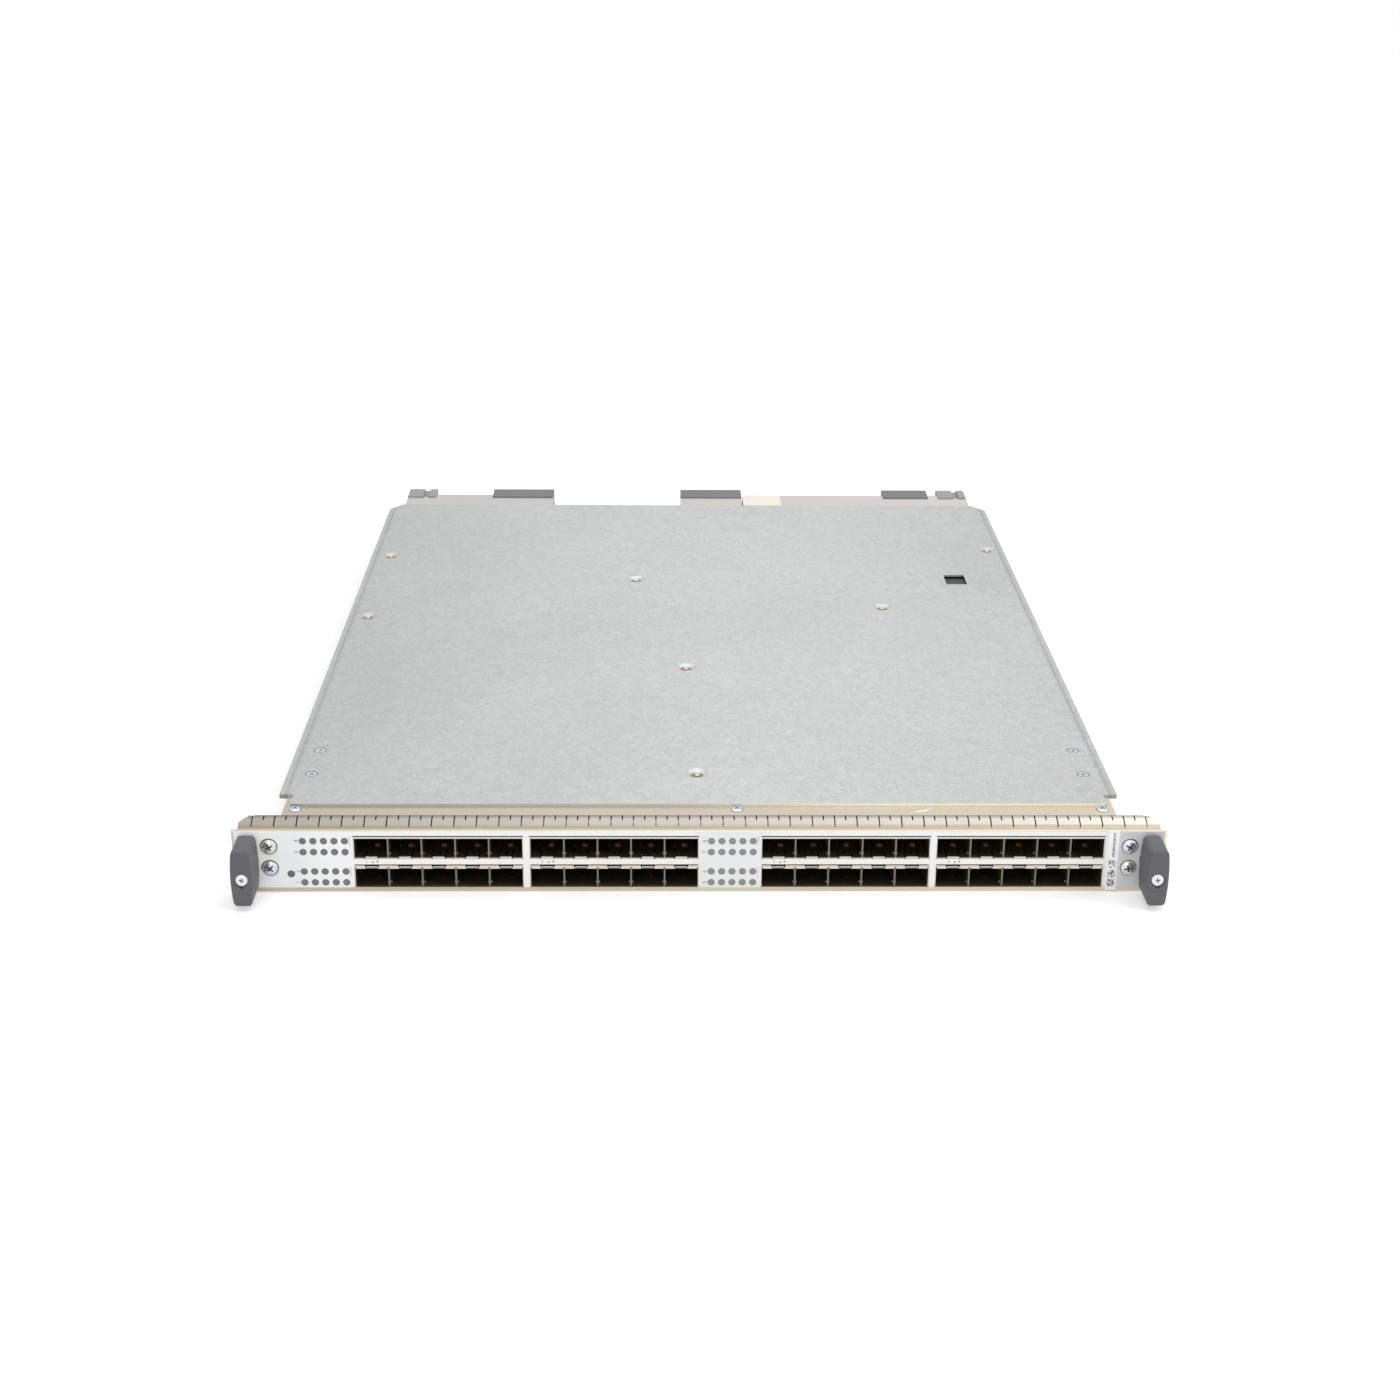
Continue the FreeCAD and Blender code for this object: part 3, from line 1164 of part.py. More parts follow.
def make_tray_fixings():
    """Flush screws into the side brackets, studs up through the dimples, and the window's pad."""
    shank = Card.tray_screw_shank
    tip = -(Card.tray_gauge + Card.plate_gauge)
    profile = [(0, 0), (Card.tray_screw_head, 0), (shank, -Card.tray_gauge * SINK_SHARE),
               (shank, tip), (0, tip)]
    screws = [
        turned("tray_screw_%d" % i, "XZ_Plane", profile, x, y, tray_top)
        for i, (x, y) in enumerate(tray_screw_places())
    ]
    is_sub_part(group("tray_screw_set", screws), "tray_screws")
    length = tray_top - dimple_depth + Card.stud_rise - flange_under
    studs = [
        cylinder("tray_stud_%d" % i, x, y, flange_under, Card.stud_radius, length)
        for i, (x, y) in enumerate(DIMPLE_PLACES)
    ]
    is_sub_part(group("tray_stud_set", studs), "tray_studs")
    half_w = Card.window_width / 2 + Card.pad_margin
    half_l = Card.window_length / 2 + Card.pad_margin
    pad = box("window_pad_body", (window_x - half_w, Card.window_y - half_l, flange_under),
              (window_x + half_w, Card.window_y + half_l, flange_under + Card.pad_gauge))
    is_sub_part(pad, "window_pad")


def notch_spans():
    """Where the board's rear edge steps back: left end, right end and front."""
    play = Card.notch_play
    spans = [(GUIDES[0][1] - PAST, GUIDES[0][2] + play, housing_front - play)]
    spans += [(left - play, right + play, housing_front - play) for left, right in CONNECTORS]
    spans.append((GUIDES[1][1] - play, GUIDES[1][2] + PAST, housing_front - play))
    spans.append((connector_2_right, power_right + play, power_notch))
    return spans


def board_outline():
    """The board seen from above: straight sides, narrower tails and the gap between them."""
    tail_front = neck_y + Card.neck_taper
    return [
        (-half_board, Card.board_front), (half_board, Card.board_front), (half_board, neck_y),
        (half_tail, tail_front), (half_tail, board_rear), (tail_gap_right, board_rear),
        (tail_gap_right, tail_gap_y), (tail_gap_left, tail_gap_y), (tail_gap_left, board_rear),
        (-half_tail, board_rear), (-half_tail, tail_front), (-half_board, neck_y),
    ]


def rear_notches(name, low_z, high_z):
    """Blocks that cut a rear edge back to what stands in its notches."""
    return [
        box("%s_notch_%d" % (name, i), (left, front, low_z), (right, board_rear + PAST, high_z))
        for i, (left, right, front) in enumerate(notch_spans())
    ]


def make_board():
    screw = Card.tray_screw_shank + Card.screw_play
    holes = [(x, flange_screw_y, screw) for x in flange_screw_xs()]
    blank = padded("board_blank", "XY_Plane", [board_outline()], board_under, Card.board_gauge,
                   holes)
    notches = rear_notches("board", board_under - PAST, flange_under + PAST)
    is_sub_part(cut("board_whole", blank, notches), "circuit_board")


def make_stiffeners():
    """Plated bars on the board's rear tails, under the tray's rear edge."""
    bars = [
        box("stiffener_left", (-half_tail, tail_gap_y, flange_under),
            (tail_gap_left, board_rear, flange_top)),
        box("stiffener_right", (tail_gap_right, tail_gap_y, flange_under),
            (half_tail, board_rear, flange_top)),
    ]
    notches = rear_notches("stiffener", flange_under - PAST, flange_top + PAST)
    is_sub_part(cut("stiffener_whole", group("stiffener_bars", bars), notches), "rear_stiffeners")


# ------------------------------------------------------------------ rear connectors

def make_backplane_connectors():
    """Housings with contact columns towards the rear, and the wafers that carry the contacts."""
    half_slot = Card.contact_slot / 2
    half_groove = Card.wafer_groove / 2
    corner = Card.wafer_cut
    side_view = [
        (wafer_front + corner, Card.wafer_foot), (housing_front, Card.wafer_foot),
        (housing_front, board_under), (wafer_front, board_under),
        (wafer_front, Card.wafer_foot + corner),
    ]
    for number, (left, right) in enumerate(CONNECTORS, start=1):
        tag = "_%d" % number
        block = box("housing_block" + tag, (left, housing_front, Card.housing_foot),
                    (right, housing_back, housing_top))
        room = (right - left - Card.contact_margin * 2).value
        count = int(room // Card.contact_pitch.value)
        middle = (left + right) / 2
        columns = []
        for i in range(count):
            x = middle + Card.contact_pitch * (i - (count - 1) / 2)
            columns.append(box("contact_%d%s" % (i, tag),
                               (x - half_slot, housing_back - Card.contact_depth,
                                Card.housing_foot + Card.contact_edge),
                               (x + half_slot, housing_back + PAST,
                                housing_top - Card.contact_edge)))
        is_sub_part(cut("housing_whole" + tag, block, columns), "backplane_connector" + tag)
        inner = left + Card.wafer_inset
        wafers = padded("wafer_block" + tag, "YZ_Plane", [side_view], inner,
                        right - Card.wafer_inset - inner)
        grooves = []
        for i in range(count - 1):
            x = middle + Card.contact_pitch * (i - (count - 2) / 2)
            grooves.append(box("wafer_groove_%d%s" % (i, tag),
                               (x - half_groove, wafer_front - PAST, Card.wafer_foot - PAST),
                               (x + half_groove, housing_front - PAST,
                                Card.wafer_foot + Card.wafer_groove_depth)))
        is_sub_part(cut("wafer_whole" + tag, wafers, grooves), "connector_wafers" + tag)


def make_guides():
    """Blocks with a bore that takes a guide pin of the chassis."""
    level = board_under / 2
    for side, left, right in GUIDES:
        body = fuse("guide_body_" + side, [
            box("guide_low_" + side, (left, guide_start, 0), (right, housing_back, board_under)),
            box("guide_high_" + side, (left, housing_front, 0),
                (right, housing_back, housing_top)),
        ])
        middle = (left + right) / 2
        bore = cylinder("guide_bore_" + side, middle, housing_back - Card.guide_bore_depth, level,
                        Card.guide_bore, Card.guide_bore_depth + PAST, "y")
        key_left = middle + Card.key_offset
        key = box("guide_key_" + side,
                  (key_left, housing_front - PAST, housing_top - Card.key_depth),
                  (key_left + Card.key_width, housing_back + PAST, housing_top + PAST))
        is_sub_part(cut("guide_whole_" + side, body, [bore, key]), "guide_block_" + side)


def make_power_connector():
    """A pale block hung under the board, whose rear part rises through a notch of its own."""
    front = power_notch + Card.notch_play
    back = board_rear + Card.power_nose
    shell = fuse("power_shell", [
        box("power_low", (power_left, power_notch - Card.power_lap, Card.wafer_foot),
            (power_right, back, board_under)),
        box("power_high", (power_left, front, board_under), (power_right, back, flange_top)),
    ])
    pitch = Card.power_width / BLADE_COUNT
    half = Card.pocket_width / 2
    pockets = []
    for i in range(BLADE_COUNT):
        x = power_left + pitch * (i + 0.5)
        pockets.append(box("power_pocket_%d" % i,
                           (x - half, back - Card.pocket_depth,
                            Card.wafer_foot + Card.pocket_edge),
                           (x + half, back + PAST, board_under - Card.pocket_edge)))
    is_sub_part(cut("power_whole", shell, pockets), "power_connector")


# ------------------------------------------------------------------ component side

def row_places(step, count):
    """Places of a row that is spread evenly about the card's middle."""
    return [step * (i - (count - 1) / 2) for i in range(count)]


def under_board(name, x, y, width, length, height, level=board_under):
    """A package that hangs from a level."""
    return box(name, (x - width / 2, y - length / 2, level - height),
               (x + width / 2, y + length / 2, level))


def make_heat_sinks():
    """Finned blocks, each pressed on its processor."""
    half = Card.sink_width / 2
    base_top = board_under - Card.chip_gauge
    base_under = base_top - Card.sink_base
    tip = base_under - Card.sink_fin_height
    fin = Card.sink_fin
    fin_step = (Card.sink_width - fin) / (FIN_COUNT - 1)
    sinks = []
    for number, x in enumerate(row_places(sink_step, SINK_COUNT)):
        outline = [(x - half, base_top)]
        for i in range(FIN_COUNT):
            left = x - half + fin_step * i
            outline += [(left, base_under), (left, tip), (left + fin, tip),
                        (left + fin, base_under)]
        outline.append((x + half, base_top))
        sinks.append(padded("sink_%d" % number, "XZ_Plane", [outline], sink_y - half,
                            Card.sink_width))
    is_sub_part(group("sink_set", sinks), "heat_sinks")


def make_chips():
    """Processors under the heat sinks, fabric chips behind them, and two rows of memory."""
    width = Card.chip_width
    places = row_places(sink_step, SINK_COUNT)
    processors = [
        under_board("processor_%d" % i, x, sink_y, width, width, Card.chip_gauge)
        for i, x in enumerate(places)
    ]
    is_sub_part(group("processor_set", processors), "processors")
    width = Card.fabric_width
    fabric = [
        under_board("fabric_%d" % i, x, fabric_y, width, width, Card.chip_gauge)
        for i, x in enumerate((places[0], Size(0), places[-1]))
    ]
    is_sub_part(group("fabric_set", fabric), "fabric_chips")
    memory = [
        under_board("memory_%d_%d" % (row, i), x, memory_y + Card.memory_row_pitch * row,
                    Card.memory_width, Card.memory_length, Card.memory_gauge)
        for row in range(MEMORY_ROW_COUNT)
        for i, x in enumerate(row_places(Card.memory_pitch, MEMORY_COUNT))
    ]
    is_sub_part(group("memory_set", memory), "memory_chips")


def make_power_modules():
    """Power modules on four feet each, and a row of block-shaped capacitors."""
    top = board_under - Card.brick_stand
    foot = Card.brick_foot
    modules = []
    for i, x in enumerate(row_places(brick_step, MODULE_COUNT)):
        body = under_board("brick_%d" % i, x, brick_y, Card.brick_width, Card.brick_length,
                           Card.brick_gauge, top)
        out_x = (Card.brick_width - foot) / 2
        out_y = (Card.brick_length - foot) / 2
        feet = [
            under_board("brick_foot_%d_%d" % (i, j), x + out_x * sx, brick_y + out_y * sy, foot,
                        foot, Card.brick_stand)
            for j, (sx, sy) in enumerate(((-1, -1), (1, -1), (1, 1), (-1, 1)))
        ]
        modules.append(fuse("brick_whole_%d" % i, [body] + feet))
    is_sub_part(group("brick_set", modules), "power_modules")
    blocks = [
        under_board("capacitor_%d" % i, x, capacitor_y, Card.capacitor_width,
                    Card.capacitor_length, Card.capacitor_height)
        for i, x in enumerate(row_places(capacitor_step, CAPACITOR_COUNT))
    ]
    is_sub_part(group("capacitor_set", blocks), "capacitors")


# ------------------------------------------------------------------ build

make_faceplate()
make_overlay()
make_gasket()
make_sticker()
make_face_screws()
make_flange_screws()
make_light_pipes()
make_cages()
for side, sign in SIDES:
    make_knob(side, sign)
    make_spindle(side, sign)
    make_side_bracket(side, sign)
make_tray()
make_tray_fixings()
make_board()
make_stiffeners()
make_backplane_connectors()
make_guides()
make_power_connector()
make_heat_sinks()
make_chips()
make_power_modules()
doc.recompute()

for feature in doc.Objects:
    if {"Invalid", "Error"} & set(feature.State):
        raise RuntimeError("failed: %s %s" % (feature.Name, feature.State))
for feature in finished:
    if feature.Shape.isNull() or not feature.Shape.isValid() or not feature.Shape.Solids:
        raise RuntimeError("bad shape: " + feature.Label)

os.makedirs("parts", exist_ok=True)
for feature in finished:
    feature.Shape.exportStep("parts/%s.step" % feature.Label)
    print(feature.Label, len(feature.Shape.Solids), "solids")
print(len(finished), "nodes; box", doc.getObject("faceplate_bent").Shape.BoundBox)
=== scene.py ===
# %% [markdown]
# # A switch line card, dressed for its portrait
# The card is a folded, plated faceplate with forty ports, a galvanised carrier tray behind it
# and a circuit board that hangs under the tray.  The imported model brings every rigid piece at
# its true size.  This lesson adds the finishes, the small repeated fittings, the light and the
# camera.  Everything is in metres: X runs along the face, Y to the rear and Z up.

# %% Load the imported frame
import json
import math
import random

import bmesh
import bpy
from mathutils import Matrix, Vector


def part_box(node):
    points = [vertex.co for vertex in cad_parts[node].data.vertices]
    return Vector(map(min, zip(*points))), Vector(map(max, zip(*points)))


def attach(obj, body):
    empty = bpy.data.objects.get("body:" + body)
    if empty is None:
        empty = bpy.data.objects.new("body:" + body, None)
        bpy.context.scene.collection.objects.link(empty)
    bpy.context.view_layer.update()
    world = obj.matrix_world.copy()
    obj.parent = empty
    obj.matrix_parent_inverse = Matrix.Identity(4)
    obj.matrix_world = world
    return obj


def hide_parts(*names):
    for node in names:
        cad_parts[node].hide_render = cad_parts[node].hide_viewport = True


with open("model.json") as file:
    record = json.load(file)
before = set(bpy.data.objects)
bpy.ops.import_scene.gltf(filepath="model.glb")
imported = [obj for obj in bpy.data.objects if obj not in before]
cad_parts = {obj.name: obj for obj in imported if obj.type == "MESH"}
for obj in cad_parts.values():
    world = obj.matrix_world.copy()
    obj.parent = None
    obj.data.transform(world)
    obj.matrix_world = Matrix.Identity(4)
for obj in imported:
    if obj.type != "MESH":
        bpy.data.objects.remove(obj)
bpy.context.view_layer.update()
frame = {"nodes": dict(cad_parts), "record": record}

MM = 0.001
FACE_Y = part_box("front_overlay")[0][1] / MM


def at(x, y, z):
    """A point of the frame from millimetres, with y counted rearwards from the overlay's face."""
    return Vector((x, y + FACE_Y, z)) * MM


def new_object(name, data):
    thing = bpy.data.objects.new(name, data)
    bpy.context.collection.objects.link(thing)
    return thing


print("the overlay's face stands at y =", round(FACE_Y, 2), "mm")

# %% [markdown]
# ## The camera
# The card is seen from the front and from above, almost square on.  A camera can be aimed with
# a Track To constraint, but a matrix made from three plain angles says exactly how it stands:
# pitch looks down, yaw looks a little to the right, and roll tips the horizon.  The lens is a
# long one, so the sides of the tray close only gently towards the rear.

# %% Set up the camera
PITCH = math.radians(21.796)
YAW = math.radians(1.140)
ROLL = math.radians(0.489)
EYE = Vector((-0.01777, -1.09452, 0.42832))
LENS_MM = 56.97
SENSOR_MM = 36.0


def camera_axes(pitch, yaw, roll):
    """The camera's right, up and backward directions."""
    forward = Vector((math.sin(yaw) * math.cos(pitch), math.cos(yaw) * math.cos(pitch),
                      -math.sin(pitch)))
    level_right = Vector((math.cos(yaw), -math.sin(yaw), 0.0))
    level_up = level_right.cross(forward)
    right = math.cos(roll) * level_right + math.sin(roll) * level_up
    up = math.cos(roll) * level_up - math.sin(roll) * level_right
    return right, up, -forward


camera_data = bpy.data.cameras.new("portrait_camera")
camera_data.lens = LENS_MM
camera_data.sensor_width = SENSOR_MM
camera = new_object("portrait_camera", camera_data)
turn = Matrix(camera_axes(PITCH, YAW, ROLL)).transposed().to_4x4()
camera.matrix_world = Matrix.Translation(EYE) @ turn
bpy.context.scene.camera = camera
bpy.context.scene.view_settings.view_transform = "Standard"
print("camera at", tuple(round(v, 4) for v in EYE), "lens", LENS_MM, "mm")

# %% [markdown]
# ## Floor, backdrop and light
# The setting is a white sweep with soft light from all sides.  Pushing up the lamps until the
# floor clips would wash out the card too, so the floor and the world get their whiteness from
# their own colour instead: a Light Path node lets camera, mirror and glass rays see plain
# white, while the diffuse light that reaches the card stays at an ordinary level.

# %% Make the floor and the world
FLOOR_SIZE = 2.4
FLOOR_COLOUR = (0.93, 0.93, 0.93, 1.0)
FLOOR_GLOW = 0.26
WORLD_LIGHT = 0.62


def feed(tree, place, value):
    """Give a node's input its value: a socket to link, or a constant."""
    if hasattr(value, "is_output"):
        tree.links.new(value, place)
    else:
        place.default_value = value


def add(tree, kind, inputs=(), **settings):
    """A new node, with its settings and the values of its inputs by name or number."""
    node = tree.nodes.new(kind)
    for label, value in settings.items():
        setattr(node, label, value)
    for label, value in dict(inputs).items():
        feed(tree, node.inputs[label], value)
    return node


def arithmetic(tree, operation, *values):
    """A Math node; each value is a socket or a plain number."""
    return add(tree, "ShaderNodeMath", enumerate(values), operation=operation).outputs[0]


def mirror_or_camera(tree):
    """1 for camera, mirror and glass rays, 0 for the rays that light the card."""
    rays = add(tree, "ShaderNodeLightPath").outputs
    seen = rays["Is Camera Ray"]
    for name in ("Is Glossy Ray", "Is Transmission Ray"):
        seen = arithmetic(tree, "MAXIMUM", seen, rays[name])
    return seen


def make_floor():
    mesh = bpy.data.meshes.new("studio_floor")
    half = FLOOR_SIZE / 2
    mesh.from_pydata([(-half, -half, 0), (half, -half, 0), (half, half, 0), (-half, half, 0)],
                     [], [(0, 1, 2, 3)])
    material = bpy.data.materials.new("white_sweep")
    material.use_nodes = True
    tree = material.node_tree
    tree.nodes.clear()
    paint = add(tree, "ShaderNodeBsdfDiffuse", {"Color": FLOOR_COLOUR})
    strength = arithmetic(tree, "MULTIPLY", mirror_or_camera(tree), FLOOR_GLOW)
    glow = add(tree, "ShaderNodeEmission", {"Strength": strength})
    both = add(tree, "ShaderNodeAddShader", {0: paint.outputs[0], 1: glow.outputs[0]})
    add(tree, "ShaderNodeOutputMaterial", {"Surface": both.outputs[0]})
    mesh.materials.append(material)
    new_object("studio_floor", mesh)


def make_world():
    world = bpy.data.worlds.new("white_room")
    bpy.context.scene.world = world
    world.use_nodes = True
    tree = world.node_tree
    background = tree.nodes["Background"].inputs
    background["Color"].default_value = (1.0, 1.0, 1.0, 1.0)
    strength = add(tree, "ShaderNodeMapRange", {
        "Value": mirror_or_camera(tree), "To Min": WORLD_LIGHT, "To Max": 1.0})
    feed(tree, background["Strength"], strength.outputs["Result"])


make_floor()
make_world()
print("floor", FLOOR_SIZE, "m wide; world light", WORLD_LIGHT)

# %% [markdown]
# Three soft boxes shape the card.  The large one overhead gives the tray its even grey.  The
# one on the right is a little brighter, so the plated steel warms up towards that end, and a
# low one by the camera fills in the face.

# %% Hang the soft boxes
SOFT_BOXES = (
    ("overhead_box", (0.0, 0.1, 1.7), (0.0, 0.0, 0.0), 1.9, 11.0),
    ("right_box", (1.5, -0.5, 0.9), (0.1, -0.2, 0.0), 1.2, 10.0),
    ("front_box", (-0.3, -2.0, 1.0), (0.0, -0.2, 0.0), 1.4, 7.0),
)


def make_soft_box(name, place, target, size, power):
    lamp = bpy.data.lights.new(name, "AREA")
    lamp.shape = "SQUARE"
    lamp.size = size
    lamp.energy = power
    box = new_object(name, lamp)
    aim = Vector(target) - Vector(place)
    box.rotation_euler = aim.to_track_quat("-Z", "Y").to_euler()
    box.location = place


for row in SOFT_BOXES:
    make_soft_box(*row)
print("soft boxes:", ", ".join(row[0] for row in SOFT_BOXES))

# %% [markdown]
# ## Effects that several finishes share
# Rolled sheet, moulded plastic and printed film all vary a little from place to place.  The
# variation could be painted on a texture, but that has an edge and a seam.  Noise on Object
# coordinates goes on for ever and stays put when the camera moves.  Each effect is a node
# group, built once here and placed in every material that needs it.

# %% Helpers for node groups


def new_group(name, inputs, outputs):
    """A shader node group with named float inputs and outputs, and what its inputs bring."""
    tree = bpy.data.node_groups.new(name, "ShaderNodeTree")
    for label, value in inputs:
        socket = tree.interface.new_socket(name=label, in_out="INPUT",
                                           socket_type="NodeSocketFloat")
        socket.default_value = value
    for label in outputs:
        tree.interface.new_socket(name=label, in_out="OUTPUT", socket_type="NodeSocketFloat")
    return tree, add(tree, "NodeGroupInput").outputs


def object_place(tree, stretch=(1.0, 1.0, 1.0)):
    """Object coordinates, stretched along the axes."""
    where = add(tree, "ShaderNodeTexCoord").outputs["Object"]
    return add(tree, "ShaderNodeMapping", {"Vector": where, "Scale": stretch}).outputs["Vector"]


def noise(tree, place, scale, detail=2.0, rough=0.5):
    return add(tree, "ShaderNodeTexNoise", {
        "Vector": place, "Scale": scale, "Detail": detail, "Roughness": rough}).outputs


def swing(tree, value, amount):
    """A 0-to-1 value turned into a factor round one: 1 + (value - 0.5) x 2 x amount."""
    centred = arithmetic(tree, "MULTIPLY_ADD", value, 2.0, -1.0)
    return arithmetic(tree, "MULTIPLY_ADD", centred, amount, 1.0)


print("effects change a tone or a gloss by a share of itself")

# %% [markdown]
# *Handling* is the slow change of tone and gloss that storage, fingers and a rag leave on a
# part: one broad noise for the tone and a finer one for the gloss.

# %% The handling group
GLOSS_FINER = 3.7


def build_handling():
    tree, start = new_group(
        "handling", (("Patch Scale", 18.0), ("Tone Swing", 0.05), ("Gloss Swing", 0.12)),
        ("Tone", "Gloss"))
    place = object_place(tree)
    broad = noise(tree, place, start["Patch Scale"], detail=4.0, rough=0.6)["Fac"]
    finer = arithmetic(tree, "MULTIPLY", start["Patch Scale"], GLOSS_FINER)
    fine = noise(tree, place, finer, detail=5.0, rough=0.65)["Fac"]
    add(tree, "NodeGroupOutput", {"Tone": swing(tree, broad, start["Tone Swing"]),
                                  "Gloss": swing(tree, fine, start["Gloss Swing"])})
    return tree


HANDLING = build_handling()
print("group:", HANDLING.name)

# %% [markdown]
# *Rolling* is the grain of sheet that came off a mill: noise squeezed hard along one axis, so
# it runs in fine lines.  It gives a height for a Bump node and a factor for the tone.

# %% The rolling group
GRAIN_ALONG = 40.0
GRAIN_ACROSS = 2600.0


def build_rolling():
    tree, start = new_group("rolling", (("Line Swing", 0.04),), ("Tone", "Height"))
    place = object_place(tree, (GRAIN_ALONG, GRAIN_ACROSS, GRAIN_ACROSS))
    lines = noise(tree, place, 1.0, detail=3.0)["Fac"]
    add(tree, "NodeGroupOutput", {"Tone": swing(tree, lines, start["Line Swing"]),
                                  "Height": lines})
    return tree


ROLLING = build_rolling()
print("group:", ROLLING.name)

# %% [markdown]
# *Spangle* is the frost of zinc crystals on hot-dipped sheet.  A Voronoi texture gives each
# crystal a tone of its own, and a finer one breaks the crystals up, because real ones are
# never clean polygons.

# %% The spangle group
CRYSTAL_MM, FROST_MM, FROST_SHARE = 2.8, 0.8, 0.6
WOBBLE_SCALE, WOBBLE_REACH = 260.0, 0.004


def cells(tree, place, size_mm):
    """One random tone for each Voronoi cell of about this size."""
    texture = add(tree, "ShaderNodeTexVoronoi", {"Vector": place, "Scale": 1.0 / (size_mm * MM)})
    return add(tree, "ShaderNodeRGBToBW", {"Color": texture.outputs["Color"]}).outputs["Val"]


def build_spangle():
    tree, start = new_group("spangle", (("Crystal Swing", 0.06),), ("Tone", "Height"))
    place = object_place(tree)
    wobble = noise(tree, place, WOBBLE_SCALE)["Color"]
    bent = add(tree, "ShaderNodeVectorMath", {0: wobble, 1: (WOBBLE_REACH,) * 3, 2: place},
               operation="MULTIPLY_ADD").outputs[0]
    mixed = add(tree, "ShaderNodeMix", {
        "Factor": FROST_SHARE, "A": cells(tree, bent, CRYSTAL_MM),
        "B": cells(tree, bent, FROST_MM)}, data_type="FLOAT").outputs["Result"]
    add(tree, "NodeGroupOutput", {"Tone": swing(tree, mixed, start["Crystal Swing"]),
                                  "Height": mixed})
    return tree


SPANGLE = build_spangle()
print("group:", SPANGLE.name)

# %% [markdown]
# ## Finishes
# One function makes every finish: a Principled shader whose base colour is multiplied by the
# tones of its effects, whose roughness is multiplied by their gloss, and whose normal is bent
# by their height.  What differs from finish to finish is a row of plain values.

# %% The finish function
MOULD_GRAIN = 2400.0
RELIEF_MM = 0.05


def srgb(red, green, blue):
    """A colour given in 0-255 display values, as linear light."""
    def linear(value):
        value = value / 255
        return value / 12.92 if value <= 0.04045 else ((value + 0.055) / 1.055) ** 2.4
    return linear(red), linear(green), linear(blue), 1.0


def finish(name, colour, metallic, roughness, patch=18.0, tone=0.05, lines=0.0, bump=0.0,
           gloss=0.12, crystals=0.0, coat=0.0):
    """A material, whose colour is display values or a paint: a maker of a colour socket."""
    material = bpy.data.materials.new(name)
    material.use_nodes = True
    tree = material.node_tree
    handling = add(tree, "ShaderNodeGroup", node_tree=HANDLING, inputs={
        "Patch Scale": patch, "Tone Swing": tone, "Gloss Swing": gloss}).outputs
    toning, height = handling["Tone"], None
    for group, label, amount in ((ROLLING, "Line Swing", lines),
                                 (SPANGLE, "Crystal Swing", crystals)):
        if amount:
            effect = add(tree, "ShaderNodeGroup", {label: amount}, node_tree=group).outputs
            toning = arithmetic(tree, "MULTIPLY", toning, effect["Tone"])
            height = effect["Height"]
    base = colour(tree) if callable(colour) else srgb(*colour)[:3]
    toned = add(tree, "ShaderNodeVectorMath", {0: base, "Scale": toning}, operation="SCALE")
    rough = arithmetic(tree, "MULTIPLY", handling["Gloss"], roughness)
    shader = tree.nodes["Principled BSDF"].inputs
    for label, value in (("Base Color", toned.outputs[0]), ("Metallic", metallic),
                         ("Roughness", rough), ("Coat Weight", coat)):
        feed(tree, shader[label], value)
    if bump:
        if height is None:
            height = noise(tree, object_place(tree), MOULD_GRAIN)["Fac"]
        relief = add(tree, "ShaderNodeBump", {
            "Strength": bump, "Distance": RELIEF_MM * MM, "Height": height})
        feed(tree, shader["Normal"], relief.outputs["Normal"])
    return material


print("display grey 206 is", round(srgb(206, 206, 206)[0], 3), "in linear light")

# %% [markdown]
# Some finishes change from one end of a piece to the other, and most of these changes are
# painted light and shade.  The plating, the spring strip and the stiffeners are painted brighter
# towards the right, where the light falls.  The film on the face is silver print towards its right
# end, and its left end is painted brighter to lift the knob's shadow.  The tray is painted darker
# along its folded edges and the inside of a port is painted dark, both as painted shade.  A paint
# is a function that makes a colour socket from the place along one axis, by way of a colour ramp.

# %% Paints that follow a place


def along(axis, low_mm, high_mm, *stops):
    """A paint: a ramp between two places on an axis, of (share, red, green, blue) stops."""
    def paint(tree):
        where = add(tree, "ShaderNodeTexCoord").outputs["Object"]
        split = add(tree, "ShaderNodeSeparateXYZ", {0: where})
        share = add(tree, "ShaderNodeMapRange", {
            "From Min": low_mm * MM, "From Max": high_mm * MM, "Value": split.outputs[axis]})
        ramp = add(tree, "ShaderNodeValToRGB", {"Fac": share.outputs["Result"]})
        while len(ramp.color_ramp.elements) < len(stops):
            ramp.color_ramp.elements.new(0.5)
        for element, (position, *colour) in zip(ramp.color_ramp.elements, stops):
            element.position = position
            element.color = srgb(*colour)
        return ramp.outputs["Color"]
    return paint


print("paints run along X, Y or Z")

# %% [markdown]
# The sheet metals come first.  Faceplate, brackets and stiffeners wear a warm, straw-coloured
# plating.  The tray is plain galvanised sheet: cooler, duller and frosted with spangle.

# %% Finishes of the sheet metals
FINISHES = {}
# Plating colour, partly painted light: brighter towards the right end, where the light falls.
PLATING_AND_SIDE_LIGHT = along("X", -198, 198, (0.0, 189, 177, 161), (0.45, 204, 193, 177),
                (1.0, 218, 204, 181))
# Galvanised grey with painted shade and light along the hems: darker towards both folded edges,
# with a dark line of painted shade at each hem crease.
SHEET_AND_EDGE_SHADE = along("X", -183.4, 183.4, (0.0, 178, 180, 180), (0.005, 184, 186, 186),
              (0.008, 160, 162, 161), (0.012, 182, 184, 183), (0.2, 190, 192, 191),
              (0.45, 196, 198, 197), (0.75, 196, 198, 197), (0.988, 188, 190, 189),
              (0.992, 162, 164, 163), (0.995, 186, 188, 188), (1.0, 180, 182, 182))
# Stiffener colour, partly painted light: brighter towards the right, where the light falls.
BAND_AND_SIDE_LIGHT = along("X", -140, 140, (0.0, 194, 190, 186), (1.0, 206, 202, 198))
